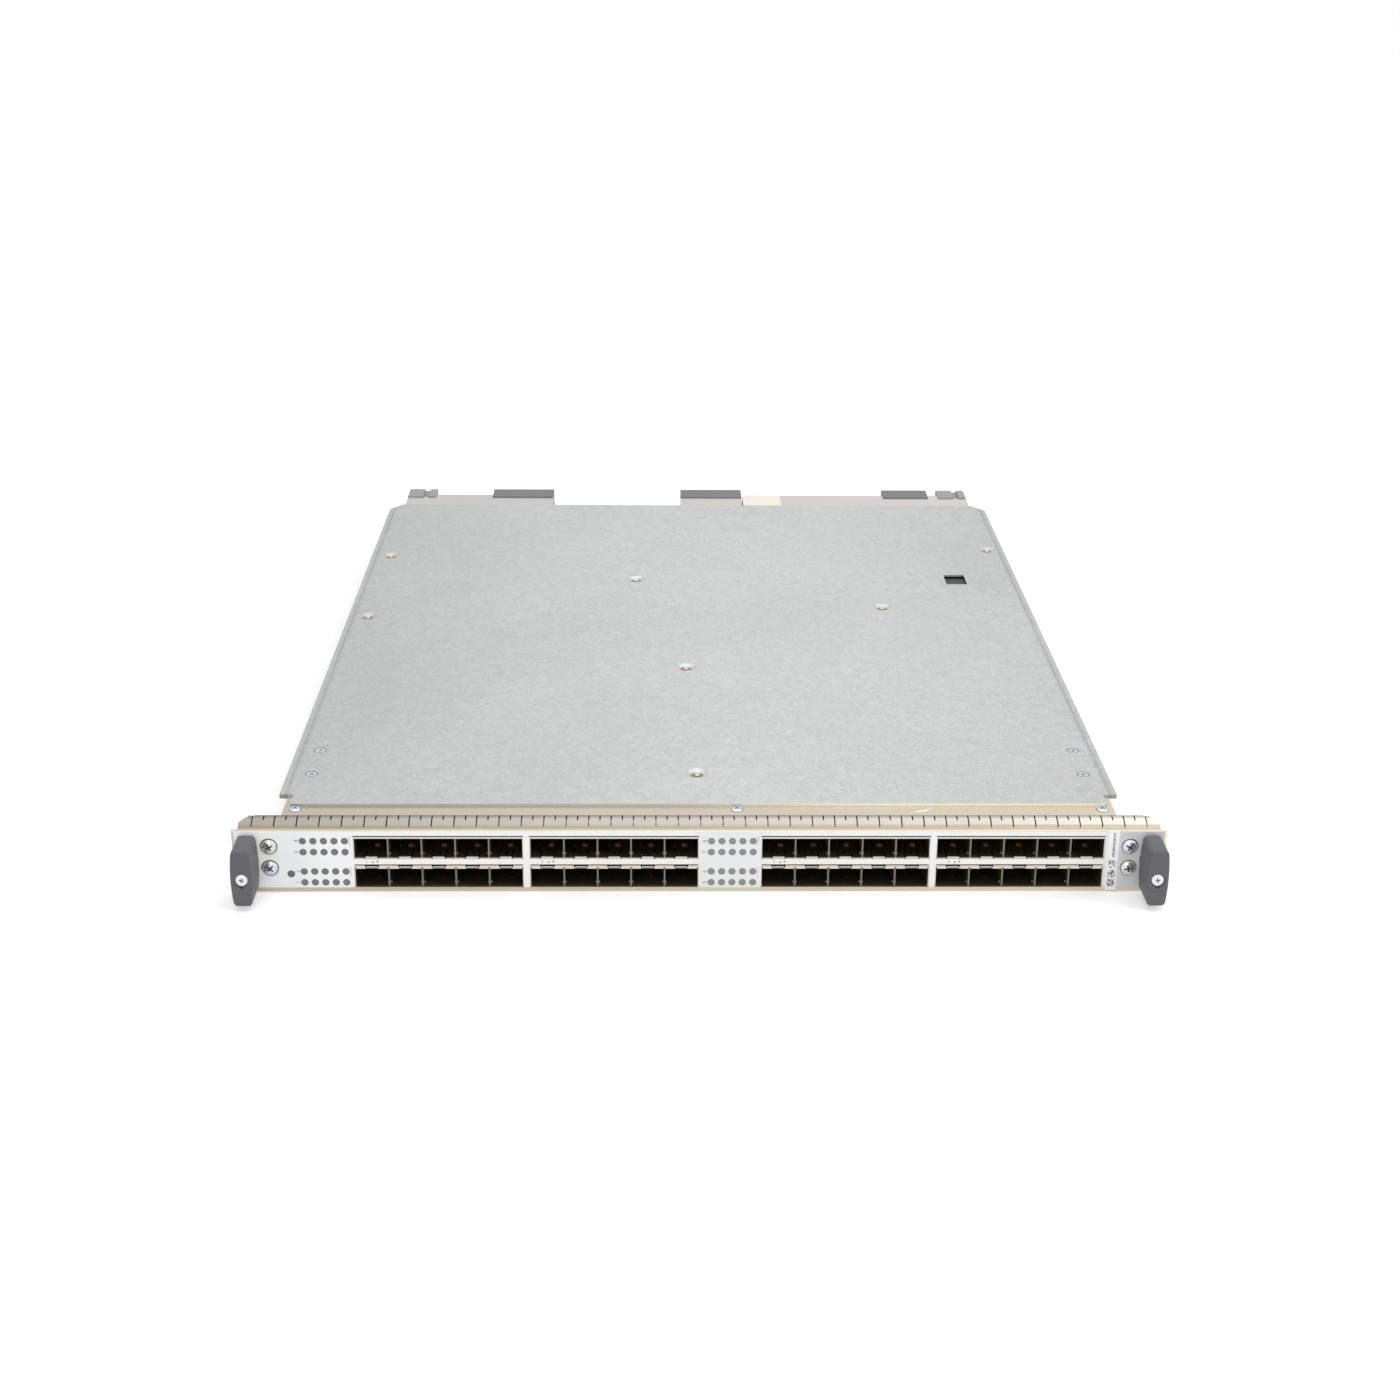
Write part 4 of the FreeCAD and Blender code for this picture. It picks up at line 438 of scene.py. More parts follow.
# Spring strip colour, partly painted light: dark at the left end and brighter towards the right,
# where the light falls.
STRIP_AND_SIDE_LIGHT = along("X", -196, 196, (0.0, 138, 134, 124), (0.5, 164, 160, 150),
              (0.8, 178, 174, 163), (1.0, 202, 197, 185))
MOUTH, DEPTH = FACE_Y + 0.4, FACE_Y + 8.4
# Painted shade: the cage metal is bright at the mouth and darkens deeper into the port.
INNER_SHADE = along("Y", MOUTH, DEPTH, (0.0, 216, 208, 196), (0.04, 180, 170, 158),
              (0.08, 150, 142, 122), (0.7, 126, 118, 96), (1.0, 116, 108, 84))
# Painted shade on the dividers, darker deeper into the port.
DIVIDING_SHADE = along("Y", MOUTH, DEPTH, (0.0, 178, 170, 156), (0.04, 120, 112, 100),
                 (0.08, 140, 132, 112), (1.0, 112, 104, 82))
METALS = (
    # slot, colour, metallic, roughness, patch, tone, lines, bump
    ("plated_steel", PLATING_AND_SIDE_LIGHT, 0.85, 0.2, 26.0, 0.06, 0.09, 0.1),
    ("spring_strip", STRIP_AND_SIDE_LIGHT, 0.9, 0.3, 40.0, 0.08, 0.03, 0.08),
    ("cage_metal", (205, 198, 190), 0.9, 0.36, 60.0, 0.06, 0.04, 0.08),
    ("screw_zinc", (205, 208, 212), 0.9, 0.3, 300.0, 0.08),
    ("stud_brass", (214, 204, 178), 0.9, 0.32, 300.0, 0.08),
    ("spindle_steel", (200, 200, 198), 0.95, 0.28, 120.0, 0.05),
    ("bushing_brass", (206, 186, 130), 0.95, 0.32, 120.0, 0.06),
    ("sink_aluminium", (190, 192, 195), 0.9, 0.4, 40.0, 0.05, 0.04, 0.1),
    ("can_aluminium", (198, 200, 204), 0.9, 0.3, 120.0, 0.05),
)


def finish_slots(rows):
    for slot, *values in rows:
        FINISHES[slot] = finish(slot + "_finish", *values)


finish_slots(METALS)
FINISHES["galvanised_steel"] = finish("galvanised_finish", SHEET_AND_EDGE_SHADE, 0.7, 0.46, 9.0, 0.1, bump=0.2,
                                      gloss=0.25, crystals=0.17)
STIFFENER = finish("stiffener_finish", BAND_AND_SIDE_LIGHT, 0.85, 0.3, 26.0, 0.05, 0.05, 0.1)
INSIDE_SHADE = finish("cage_inside_shade_finish", INNER_SHADE, 0.9, 0.38, 60.0, 0.06, 0.04, 0.08)
DIVIDER_SHADE = finish("cage_divider_shade_finish", DIVIDING_SHADE, 0.9, 0.38, 60.0, 0.06, 0.0, 0.08)
print("metals:", len(FINISHES))

# %% [markdown]
# The plastics are moulded and dull.  The film on the face is a printed polyester: silver ink
# behind a matt surface, whose tone shifts in fields.  The board is green solder mask on glass
# laminate.  Each is one row of values, so a reader can compare them at a glance.

# %% Finishes of plastics, film and board
# Print fields of the film, silver towards the right end, and painted light: the left end is
# painted brighter to lift the left knob's shadow.
FILM_PRINT_AND_LIGHT = along("X", -198, 198, (0.0, 253, 254, 254), (0.035, 253, 254, 254),
             (0.066, 240, 241, 242), (0.096, 244, 245, 246), (0.487, 240, 241, 242),
             (0.5, 232, 233, 234), (0.566, 232, 233, 234), (0.58, 240, 241, 242),
             (0.935, 240, 241, 242), (0.955, 212, 213, 215), (1.0, 206, 208, 210))
PLASTICS = (
    # slot, colour, metallic, roughness, patch, tone, lines, bump
    ("overlay_film", FILM_PRINT_AND_LIGHT, 0.0, 0.5, 30.0, 0.012, 0.0, 0.05),
    ("label_paper", (252, 252, 251), 0.0, 0.55, 60.0, 0.012, 0.0, 0.04),
    ("knob_plastic", (88, 87, 92), 0.0, 0.5, 70.0, 0.05, 0.0, 0.3),
    ("port_plastic", (92, 84, 66), 0.0, 0.5, 90.0, 0.1, 0.0, 0.1),
    ("connector_dark", (108, 107, 112), 0.0, 0.5, 60.0, 0.06, 0.0, 0.15),
    ("wafer_plastic", (60, 60, 64), 0.0, 0.5, 60.0, 0.08, 0.0, 0.15),
    ("guide_plastic", (150, 148, 148), 0.0, 0.5, 60.0, 0.06, 0.0, 0.15),
    ("power_plastic", (236, 232, 222), 0.0, 0.45, 60.0, 0.04, 0.0, 0.12),
    ("board_laminate", (38, 84, 56), 0.0, 0.38, 50.0, 0.08, 0.0, 0.1),
    ("chip_package", (42, 42, 44), 0.0, 0.5, 120.0, 0.08, 0.0, 0.2),
    ("module_case", (50, 50, 54), 0.0, 0.42, 60.0, 0.08, 0.0, 0.2),
    ("black_film", (16, 22, 18), 0.0, 0.4, 200.0, 0.2, 0.0, 0.1),
)
finish_slots(PLASTICS)
FINISHES["clear_pipe"] = finish("clear_pipe_finish", (206, 208, 210), 0.0, 0.18, 90.0, 0.03,
                                coat=0.4)
print("finishes:", len(FINISHES))

# %% [markdown]
# Each imported node names a slot for its finish.  Three pieces want more than their slot says: the
# cages and their dividers are bright at the mouth and painted dark inside, as painted shade, and
# the rear stiffeners come from a more neutral plating bath than the faceplate.

# %% Give each imported node its finish


def finish_of(name, slot):
    if name.startswith(("cage_shell", "cage_separator")):
        return INSIDE_SHADE
    if name.startswith("cage_dividers"):
        return DIVIDER_SHADE
    if name == "rear_stiffeners":
        return STIFFENER
    return FINISHES[slot]


def dress_nodes():
    slots = {row["node"]: row["material_slot"] for row in frame["record"]["subparts"]}
    for name, node in frame["nodes"].items():
        material = finish_of(name, slots[name])
        for place in node.material_slots:
            place.material = material
        if not node.material_slots:
            node.data.materials.append(material)
    return len(slots)


print("dressed nodes:", dress_nodes())

# %% [markdown]
# ## Small parts, made once and set out many times
# A line card repeats itself: forty lamps, forty ports, a dozen screws, hundreds of chips.  Copying
# objects by hand would work, but a change would have to be made again and again.  A Geometry
# Nodes tree puts one template on every point of a cloud instead.  Each point carries a turn,
# so that no two screws stop at the same angle.

# %% Mesh helpers
SMOOTH_BELOW = math.radians(38)


def faceted(name, points, faces, smooth=False):
    """A closed mesh from points in millimetres, with its faces turned outward."""
    mesh = bpy.data.meshes.new(name)
    mesh.from_pydata([Vector(p) * MM for p in points], [], faces)
    work = bmesh.new()
    work.from_mesh(mesh)
    bmesh.ops.recalc_face_normals(work, faces=work.faces)
    work.to_mesh(mesh)
    work.free()
    if smooth:
        for polygon in mesh.polygons:
            polygon.use_smooth = True
        mesh.set_sharp_from_angle(angle=SMOOTH_BELOW)
    return mesh


def bridge(near, far, count):
    """Faces between two closed rings of corners, from the number each ring starts at."""
    return [(near + i, near + (i + 1) % count, far + (i + 1) % count, far + i)
            for i in range(count)]


def circle(radius, height, steps):
    angles = [math.tau * i / steps for i in range(steps)]
    return [(radius * math.cos(angle), radius * math.sin(angle), height) for angle in angles]


def slab(outline, low, high, lower=None):
    """Points and faces of a plate with a straight-edged outline, and maybe another below."""
    count = len(outline)
    points = [(x, y, low) for x, y in lower or outline] + [(x, y, high) for x, y in outline]
    faces = [tuple(reversed(range(count))), tuple(range(count, count * 2))]
    return points, faces + bridge(0, count, count)


def lathe(profile, steps):
    """Points and faces turned about Z from (radius, height) pairs; both ends are at radius 0."""
    points = [(0, 0, profile[0][1]), (0, 0, profile[-1][1])]
    for radius, height in profile[1:-1]:
        points += circle(radius, height, steps)
    last = len(points) - steps
    faces = []
    for ring in range(2, last, steps):
        faces += bridge(ring, ring + steps, steps)
    for i in range(steps):
        j = (i + 1) % steps
        faces += [(0, 2 + i, 2 + j), (1, last + j, last + i)]
    return points, faces


def rect(x, z, width, height):
    return [(x, z), (x + width, z), (x + width, z + height), (x, z + height)]


def block(low, high):
    """Points and faces of a box between two corners."""
    return slab(rect(low[0], low[1], high[0] - low[0], high[1] - low[1]), low[2], high[2])


def joined(parts):
    """Several (points, faces) as one."""
    points, faces = [], []
    for more, rims in parts:
        faces += [tuple(len(points) + i for i in rim) for rim in rims]
        points += more
    return points, faces


def riding(name, mesh, material, body="card"):
    """A dressed mesh that rides a body."""
    piece = new_object(name, mesh)
    piece.data.materials.clear()
    piece.data.materials.append(material)
    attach(piece, body)
    return piece


def laid(name, parts, material):
    """One riding piece from (points, faces), with y counted from the overlay's face."""
    points, faces = joined(parts)
    points = [(x, y + FACE_Y, z) for x, y, z in points]
    return riding(name, faceted(name, points, faces), material)


def baked(thing, *helpers):
    """The mesh of an object as its modifiers make it; the objects are used up."""
    graph = bpy.context.evaluated_depsgraph_get()
    mesh = bpy.data.meshes.new_from_object(thing.evaluated_get(graph))
    for spent in (thing,) + helpers:
        bpy.data.objects.remove(spent)
    return mesh


def carved(base, *tools):
    """The mesh of an object less some others, which are used up."""
    for tool in tools:
        cut = base.modifiers.new("cut", "BOOLEAN")
        cut.operation = "DIFFERENCE"
        cut.solver = "EXACT"
        cut.object = tool
    mesh = baked(base, *tools)
    mesh.set_sharp_from_angle(angle=SMOOTH_BELOW)
    return mesh


print("helpers ready")

# %% [markdown]
# The scatter tree takes a cloud of points, a template and a finish.  It sets the template on
# the points, turns it, makes the copies real and gives them their finish.

# %% The scatter tree


def build_scatter():
    tree = bpy.data.node_groups.new("scatter", "GeometryNodeTree")
    for name, side, kind in (("Points", "INPUT", "Geometry"), ("Template", "INPUT", "Object"),
                             ("Finish", "INPUT", "Material"), ("Result", "OUTPUT", "Geometry")):
        tree.interface.new_socket(name=name, in_out=side, socket_type="NodeSocket" + kind)

    def of_point(name):
        return add(tree, "GeometryNodeInputNamedAttribute", {"Name": name},
                   data_type="FLOAT_VECTOR").outputs["Attribute"]

    start = add(tree, "NodeGroupInput").outputs
    template = add(tree, "GeometryNodeObjectInfo", {"Object": start["Template"]})
    rotation = add(tree, "FunctionNodeEulerToRotation", {"Euler": of_point("turn")})
    copies = add(tree, "GeometryNodeInstanceOnPoints", {
        "Points": start["Points"], "Instance": template.outputs["Geometry"],
        "Rotation": rotation.outputs["Rotation"], "Scale": of_point("size")})
    real = add(tree, "GeometryNodeRealizeInstances", {"Geometry": copies.outputs["Instances"]})
    dressed = add(tree, "GeometryNodeSetMaterial", {
        "Geometry": real.outputs["Geometry"], "Material": start["Finish"]})
    add(tree, "NodeGroupOutput", {"Result": dressed.outputs["Geometry"]})
    return tree


SCATTER = build_scatter()
UPRIGHT = (0.0, 0.0, 0.0)
WHOLE = (1.0, 1.0, 1.0)


def facing_front(roll=0.0):
    """A turn that points a template's Z axis out of the face, rolled about itself first."""
    return (Matrix.Rotation(math.pi / 2, 3, "X") @ Matrix.Rotation(roll, 3, "Z")).to_euler()


def set_out(name, template, places, material, body="card"):
    """One mesh with the template at each (point, turn, size), riding a body."""
    cloud = bpy.data.meshes.new(name + "_cloud")
    cloud.from_pydata([row[0] for row in places], [], [])
    for label, index in (("turn", 1), ("size", 2)):
        values = cloud.attributes.new(label, "FLOAT_VECTOR", "POINT")
        for item, row in zip(values.data, places):
            item.vector = tuple(row[index])
    carrier = new_object(name + "_cloud", cloud)
    master = new_object(name + "_template", template)
    modifier = carrier.modifiers.new("scatter", "NODES")
    modifier.node_group = SCATTER
    for item in SCATTER.interface.items_tree:
        if item.name == "Template":
            modifier[item.identifier] = master
        if item.name == "Finish" and item.in_out == "INPUT":
            modifier[item.identifier] = material
    mesh = baked(carrier, master)
    for label in ("turn", "size"):
        if label in mesh.attributes:
            mesh.attributes.remove(mesh.attributes[label])
    piece = new_object(name, mesh)
    if not piece.data.materials:
        piece.data.materials.append(material)
    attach(piece, body)
    return piece


print("tree:", SCATTER.name, "with", len(SCATTER.nodes), "nodes")

# %% [markdown]
# ## Screws
# The screws are cold-headed and zinc plated.  The punch that forms the cross recess leaves
# sharp edges, so the recess is cut with a boolean rather than drawn: its walls then shade like
# the real ones.  Two plating baths were used, one neutral and one bluish.

# %% Make the screws
NICKEL = finish("screw_nickel_finish", (206, 208, 204), 0.9, 0.24, 300.0, 0.1)
BLUISH = finish("screw_bluish_finish", (198, 208, 216), 0.9, 0.26, 300.0, 0.1)
# A dark finish for painted shade: the recess floors and the gaps round the heads.
SCREW_SHADE = finish("screw_shade_finish", (48, 50, 52), 0.8, 0.4, 300.0, 0.1)
ARM_SHARE = 0.42
RECESS_TAPER, RECESS_DEEP = 0.45, 1.1
FLANGE_TOP, TRAY_TOP = 28.7, 29.7


def cross_rim(reach, half):
    """The outline of a cross: how far its arms reach, and half their width."""
    return [(half, half), (reach, half), (reach, -half), (half, -half), (half, -reach),
            (-half, -reach), (-half, -half), (-reach, -half), (-reach, half), (-half, half),
            (-half, reach), (half, reach)]


def cross(reach, top):
    """A tapered cross that cuts a recess."""
    rim = cross_rim(reach, reach * ARM_SHARE / 2)
    foot = [(x * RECESS_TAPER, y * RECESS_TAPER) for x, y in rim]
    return new_object("cross", faceted("cross", *slab(rim, top - RECESS_DEEP, top + 0.2, foot)))


def recess_shade_floor(reach, top):
    """A dark plate of painted shade in a cross recess, just under the head's top."""
    rim = cross_rim(reach * 0.88, reach * ARM_SHARE / 2 * 0.9)
    return faceted("recess_shade_floor", *slab(rim, top - 0.5, top - 0.22))


def screw_template(name, profile, steps, reach):
    """A turned screw with a cross recess in its head."""
    body = new_object(name, faceted(name, *lathe(profile, steps), smooth=True))
    return carved(body, cross(reach, profile[0][1]))


def ring_mesh(name, inner, outer, height, steps=28):
    """A flat ring: painted shade in the gap round a screw head, or the brown ring on a dimple
    floor.
    """
    points, faces = [], []
    for ring, (radius, z) in enumerate(((inner, 0), (outer, 0), (outer, height), (inner, height))):
        points += circle(radius, z, steps)
        faces += bridge(ring * steps, (ring + 1) % 4 * steps, steps)
    return faceted(name, points, faces)


def pan_profile(radius, rise, shank, length):
    return [(0, rise), (radius * 0.5, rise * 0.96), (radius * 0.78, rise * 0.78),
            (radius * 0.94, rise * 0.45), (radius, rise * 0.12), (radius, 0), (shank, 0),
            (shank, -length), (0, -length)]


def box_mm(name):
    low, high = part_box(name)
    return [v / MM for v in low], [v / MM for v in high]


print("screw finishes:", NICKEL.name, BLUISH.name, SCREW_SHADE.name)

# %% [markdown]
# Each screw is set out with a dark plate of painted shade in its recess and, where its head stands
# in a clearance hole, a dark ring of painted shade in the gap round it.  The four face screws take
# both plating baths in turn.

# %% Set out the face screws
FACE_HEAD, FACE_HOLE, FACE_RISE, FACE_REACH = 3.3, 3.55, 1.55, 2.0
FACE_SEAT = 0.3


def face_screws():
    low, high = box_mm("face_screws")
    right = high[0] - FACE_HOLE
    bottom, top = low[2] + FACE_HOLE, high[2] - FACE_HOLE
    template = screw_template("face_screw", pan_profile(FACE_HEAD, FACE_RISE, 1.9, 5.9), 28,
                              FACE_REACH)
    every = []
    for label, material, places in (
            ("nickel", NICKEL, ((-right, top, 0.45), (right, bottom, 0.2))),
            ("bluish", BLUISH, ((-right, bottom, 0.8), (right, top, 1.05)))):
        rows = [(at(x, FACE_SEAT, z), facing_front(roll), WHOLE) for x, z, roll in places]
        piece = set_out("face_screws_" + label, template.copy(), rows, material)
        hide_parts("face_screws")
        every += rows
    set_out("face_screw_recesses", recess_shade_floor(FACE_REACH, FACE_RISE), every, SCREW_SHADE)
    gap = ring_mesh("rim", FACE_HEAD - 0.1, FACE_HEAD + 0.15, 0.06)
    set_out("face_screw_rims", gap, every, SCREW_SHADE)
    return len(every)


print("face screws:", face_screws())

# %% Set out the screws on the flange and the tray
FLANGE_SCREWS = [at(x, 22.0, FLANGE_TOP) for x in (-174.6, 15.9, 174.6)]
TRAY_SCREWS = [at(x, y, TRAY_TOP) for x in (-172.6, 172.6) for y in (57.7, 84.7)]
SUNK = [(0, -0.02), (2.2, -0.02), (2.5, -0.1), (1.25, -0.72), (1.25, -2.15), (0, -2.15)]
TOP_REACH = 1.5


def top_screws(name, node, places, profile, rim):
    template = screw_template(name, profile, 24, TOP_REACH)
    chance = random.Random(len(name))
    rows = [(place, (0, 0, chance.uniform(0, math.pi / 2)), WHOLE) for place in places]
    piece = set_out(name + "_heads", template, rows, BLUISH)
    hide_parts(node)
    set_out(name + "_recesses", recess_shade_floor(TOP_REACH, profile[0][1]), rows, SCREW_SHADE)
    set_out(name + "_rims", ring_mesh("rim", rim - 0.25, rim, 0.03), rows, SCREW_SHADE)
    return len(rows)


print("flange screws:", top_screws("flange_screw", "flange_screws", FLANGE_SCREWS,
                                   pan_profile(2.6, 0.8, 1.25, 3.5), 2.75))
print("tray screws:", top_screws("tray_screw", "tray_screws", TRAY_SCREWS, SUNK, 2.85))

# %% [markdown]
# ## Knobs
# The knobs are moulded in dark plastic.  A mould can't have sharp corners, so the outline and
# the front edge are rounded: the outline by drawing it with arcs, the edge by a short loft.
# The screw sits in a round recess with a nick above and below for the moulding core.

# %% Make the knobs
KNOB_HALF_WAIST, KNOB_HALF_END, KNOB_HALF_HEIGHT = 4.6, 3.75, 12.7
KNOB_CORNER, KNOB_EDGE = 2.0, 0.7
KNOB_Z = 15.45
KNOB_DROP, KNOB_SCREW_DROP = 0.25, 1.1
KNOB_X = 191.6
KNOB_FRONT, KNOB_BACK = -18.6, -2.4


def knob_outline(inside):
    """The barrel outline, drawn in by some millimetres."""
    bow = KNOB_HALF_WAIST - KNOB_HALF_END
    radius = (KNOB_HALF_HEIGHT ** 2 + bow ** 2) / (bow * 2)
    corner = max(KNOB_CORNER - inside, 0.3)
    top = KNOB_HALF_HEIGHT - inside

    def side(z):
        return KNOB_HALF_WAIST - inside - radius + math.sqrt(radius ** 2 - z ** 2)

    start = top - corner
    flank = [(side(start * k / 8), start * k / 8) for k in range(-8, 9)]
    centre = side(start) - corner
    arc = [(centre + corner * math.cos(a), start + corner * math.sin(a))
           for a in (math.pi / 2 * k / 6 for k in range(1, 7))]
    lower = [(x, -z) for x, z in reversed(arc)]
    right = lower + flank + arc
    return right + [(-x, z) for x, z in reversed(right)]


def knob_body(name):
    """Rings of the outline from the back to the rounded front."""
    sections = [(KNOB_BACK, 0.3), (KNOB_BACK - 0.3, 0.0)]
    for k in range(6):
        angle = math.pi / 2 * k / 5
        sections.append((KNOB_FRONT + KNOB_EDGE * (1 - math.sin(angle)),
                         KNOB_EDGE * (1 - math.cos(angle))))
    rings = [[(x, y, z) for x, z in knob_outline(inside)] for y, inside in sections]
    count = len(rings[0])
    points = [p for ring in rings for p in ring]
    faces = [tuple(range(count)), tuple(reversed(range(len(points) - count, len(points))))]
    for start in range(0, len(points) - count, count):
        faces += bridge(start, start + count, count)
    return new_object(name, faceted(name, points, faces, smooth=True))


def round_bar(name, radius, near, far, up=0.0):
    points, faces = lathe([(0, near), (radius, near), (radius, far), (0, far)], 32)
    points = [(x, z, y + up) for x, y, z in points]
    return new_object(name, faceted(name, points, faces, smooth=True))


print("the outline has", len(knob_outline(0.0)), "corners")

# %% [markdown]
# The screw sits a little below the middle of the knob's face, in a round recess, and is plated
# whiter than the others.  Knob and screw ride the jackscrew, so they turn with it.

# %% Set the knobs and their screws
WHITE_ZINC = finish("screw_white_finish", (226, 228, 230), 0.6, 0.42, 400.0, 0.1)
KNOB_SCREW = [(0, 1.3), (2.2, 1.24), (2.65, 1.02), (2.85, 0.3), (2.85, 0), (1.5, 0),
              (1.5, -10.0), (0, -10.0)]
KNOB_SCREW_TOP = KNOB_SCREW[0][1]
KNOB_SCREW_REACH = 1.3
RECESS_RADIUS, RECESS_FLOOR = 2.95, KNOB_FRONT + 1.6
NICK_HALF_WIDTH, NICK_REACH, NICK_FLOOR = 0.8, 3.45, KNOB_FRONT + 1.2
SOCKET_RADIUS, SOCKET_DEEP = 2.6, 8.0


def make_knob(side, sign):
    body = side + "_jackscrew"
    shift = KNOB_SCREW_DROP - KNOB_DROP
    mesh = carved(
        knob_body("knob_blank"),
        round_bar("recess", RECESS_RADIUS, KNOB_FRONT - 1, RECESS_FLOOR, -shift),
        new_object("nick", faceted("nick", *block(
            (-NICK_HALF_WIDTH, KNOB_FRONT - 1, -NICK_REACH - shift),
            (NICK_HALF_WIDTH, NICK_FLOOR, NICK_REACH - shift)))),
        round_bar("socket", SOCKET_RADIUS, KNOB_BACK - SOCKET_DEEP, KNOB_BACK + 1, KNOB_DROP))
    mesh.transform(Matrix.Translation(at(KNOB_X * sign, 0, KNOB_Z - KNOB_DROP)))
    knob = riding("knob_" + side + "_moulded", mesh, FINISHES["knob_plastic"], body)
    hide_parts("knob_" + side)
    template = screw_template("knob_screw", KNOB_SCREW, 28, KNOB_SCREW_REACH)
    place = at(KNOB_X * sign, RECESS_FLOOR, KNOB_Z - KNOB_SCREW_DROP)
    rows = [(place, facing_front(0.3 * sign), WHOLE)]
    screw = set_out("knob_screw_" + side + "_head", template, rows, WHITE_ZINC, body)
    set_out("knob_screw_" + side + "_recess", recess_shade_floor(KNOB_SCREW_REACH, KNOB_SCREW_TOP), rows,
            SCREW_SHADE, body)
    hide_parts("knob_screw_" + side)
    return len(mesh.polygons)


print("knob faces:", make_knob("left", -1), make_knob("right", 1))

# %% [markdown]
# ## Print on the face
# The film on the face is screen printed.  Printed ink has a thickness, about a hundredth of a
# millimetre, so each mark is a very thin plate rather than a stain in the colour.  The lamps
# are grey dots of ink that let light through.  The brackets, numbers and triangles are generic.

# %% Print the lamps
PORT_PITCH = 14.25
BLOCK_X = (-111.275, -36.725, 61.725, 136.275)
LAMP_PITCH = 4.44
LAMP_ROWS = (4.6, 9.72, 18.83, 23.95)
LEFT_LAMPS, MIDDLE_LAMPS = -159.575, 13.425
INKS = {label: finish("ink_%s_finish" % label, colour, 0.0, 0.5, 200.0, 0.04)
        for label, colour in (("left", (112, 112, 112)), ("middle", (136, 136, 136)),
                              ("faint", (150, 151, 152)), ("dark", (96, 96, 98)))}
INK = 0.02
LAMP_RADIUS, STATUS_RADIUS = 1.56, 1.65
STATUS_PLACE = (-174.0, 0, 8.6)


def disc(name, radius):
    return faceted(name, *lathe([(0, INK), (radius - 0.06, INK), (radius, 0), (0, 0)], 28))


def print_lamps():
    total = 0
    for label, centre in (("left", LEFT_LAMPS), ("middle", MIDDLE_LAMPS)):
        rows = [(at(centre + LAMP_PITCH * (i - 2), 0, z), facing_front(), WHOLE)
                for z in LAMP_ROWS for i in range(5)]
        set_out("lamp_print_" + label, disc("lamp", LAMP_RADIUS), rows, INKS[label])
        total += len(rows)
    status = [(at(*STATUS_PLACE), facing_front(), WHOLE)]
    set_out("status_print", disc("status", STATUS_RADIUS), status, INKS["dark"])
    return total + 1


print("lamps:", print_lamps())

# %% [markdown]
# Beside the lamps stand plain numbers and brackets, and above the lower ports small triangles
# that point at the two rows.  They say nothing, and only fill the places where print belongs.

# %% Print the brackets, numbers and triangles
BRACKET_ARM, BRACKET_LINE = 0.7, 0.16
BRACKET_OFFSET, BRACKET_HALF = 11.0, 2.0
NUMBER_OFFSET, NUMBER_HEIGHT = -LAMP_PITCH * 2 - 2.7, 2.8
BLOCK_NUMBER_OFFSET, BLOCK_NUMBER_Z, BLOCK_NUMBER_HEIGHT = -PORT_PITCH * 2 - 2.0, 14.25, 1.9
TRIANGLE_LEVELS = (13.75, 14.75)


def plates(name, outlines, material, y=0.0, rise=INK):
    """Thin plates of ink on the face from outlines in x and z."""
    flat = [slab(outline, 0, rise) for outline in outlines]
    return laid(name, [([(x, y - depth, z) for x, z, depth in points], faces)
                       for points, faces in flat], material)


def bracket(x, low, high):
    """Three bars that open to the left, beside a row of lamps."""
    return [rect(x - BRACKET_LINE / 2, low, BRACKET_LINE, high - low),
            rect(x - BRACKET_ARM, low, BRACKET_ARM, BRACKET_LINE),
            rect(x - BRACKET_ARM, high - BRACKET_LINE, BRACKET_ARM, BRACKET_LINE)]


def print_brackets():
    outlines = []
    for centre in (LEFT_LAMPS, MIDDLE_LAMPS):
        for middle in (LAMP_ROWS[1], LAMP_ROWS[3]):
            outlines += bracket(centre + BRACKET_OFFSET, middle - BRACKET_HALF,
                                middle + BRACKET_HALF)
    plates("bracket_print", outlines, INKS["faint"])
    return len(outlines)


def number_mesh(text, height):
    """A plain number as a thin mesh, its baseline along X."""
    curve = bpy.data.curves.new("number", "FONT")
    curve.body = text
    curve.size = height * MM
    curve.extrude = INK * MM / 2
    curve.resolution_u = 2
    curve.align_x = "CENTER"
    curve.align_y = "CENTER"
    mesh = baked(new_object("number", curve))
    mesh.transform(Matrix.Translation((0, 0, INK * MM / 2)))
    return mesh


def print_numbers():
    quarter = facing_front(math.pi / 2)
    count = 0
    for centre, first in ((LEFT_LAMPS, 1), (MIDDLE_LAMPS, 5)):
        for row, z in enumerate(LAMP_ROWS):
            label = str(first + row)
            place = [(at(centre + NUMBER_OFFSET, 0, z), quarter, WHOLE)]
            set_out("number_%s_print" % label, number_mesh(label, NUMBER_HEIGHT), place,
                    INKS["faint"])
            count += 1
    for number, x in enumerate(BLOCK_X):
        place = [(at(x + BLOCK_NUMBER_OFFSET, 0, BLOCK_NUMBER_Z), facing_front(), WHOLE)]
        mesh = number_mesh(str(number + 1), BLOCK_NUMBER_HEIGHT)
        set_out("block_number_%d_print" % number, mesh, place, INKS["faint"])
    return count + len(BLOCK_X)


def print_triangles():
    low, high = TRIANGLE_LEVELS
    outlines = []
    for x in BLOCK_X:
        left = x - PORT_PITCH * 2
        outlines.append([(left, low), (left + 1.3, low), (left + 0.65, high)])
        outlines.append([(left + 1.9, high), (left + 2.55, low), (left + 3.2, high)])
    plates("triangle_print", outlines, INKS["faint"])
    return len(outlines)


print("bracket bars:", print_brackets(), "numbers:", print_numbers(),
      "triangles:", print_triangles())

# %% [markdown]
# The sticker is plain paper on the face.  Its print is a column of short dark bars and three
# squares of blocks, drawn by a seeded random series, so it carries no data.

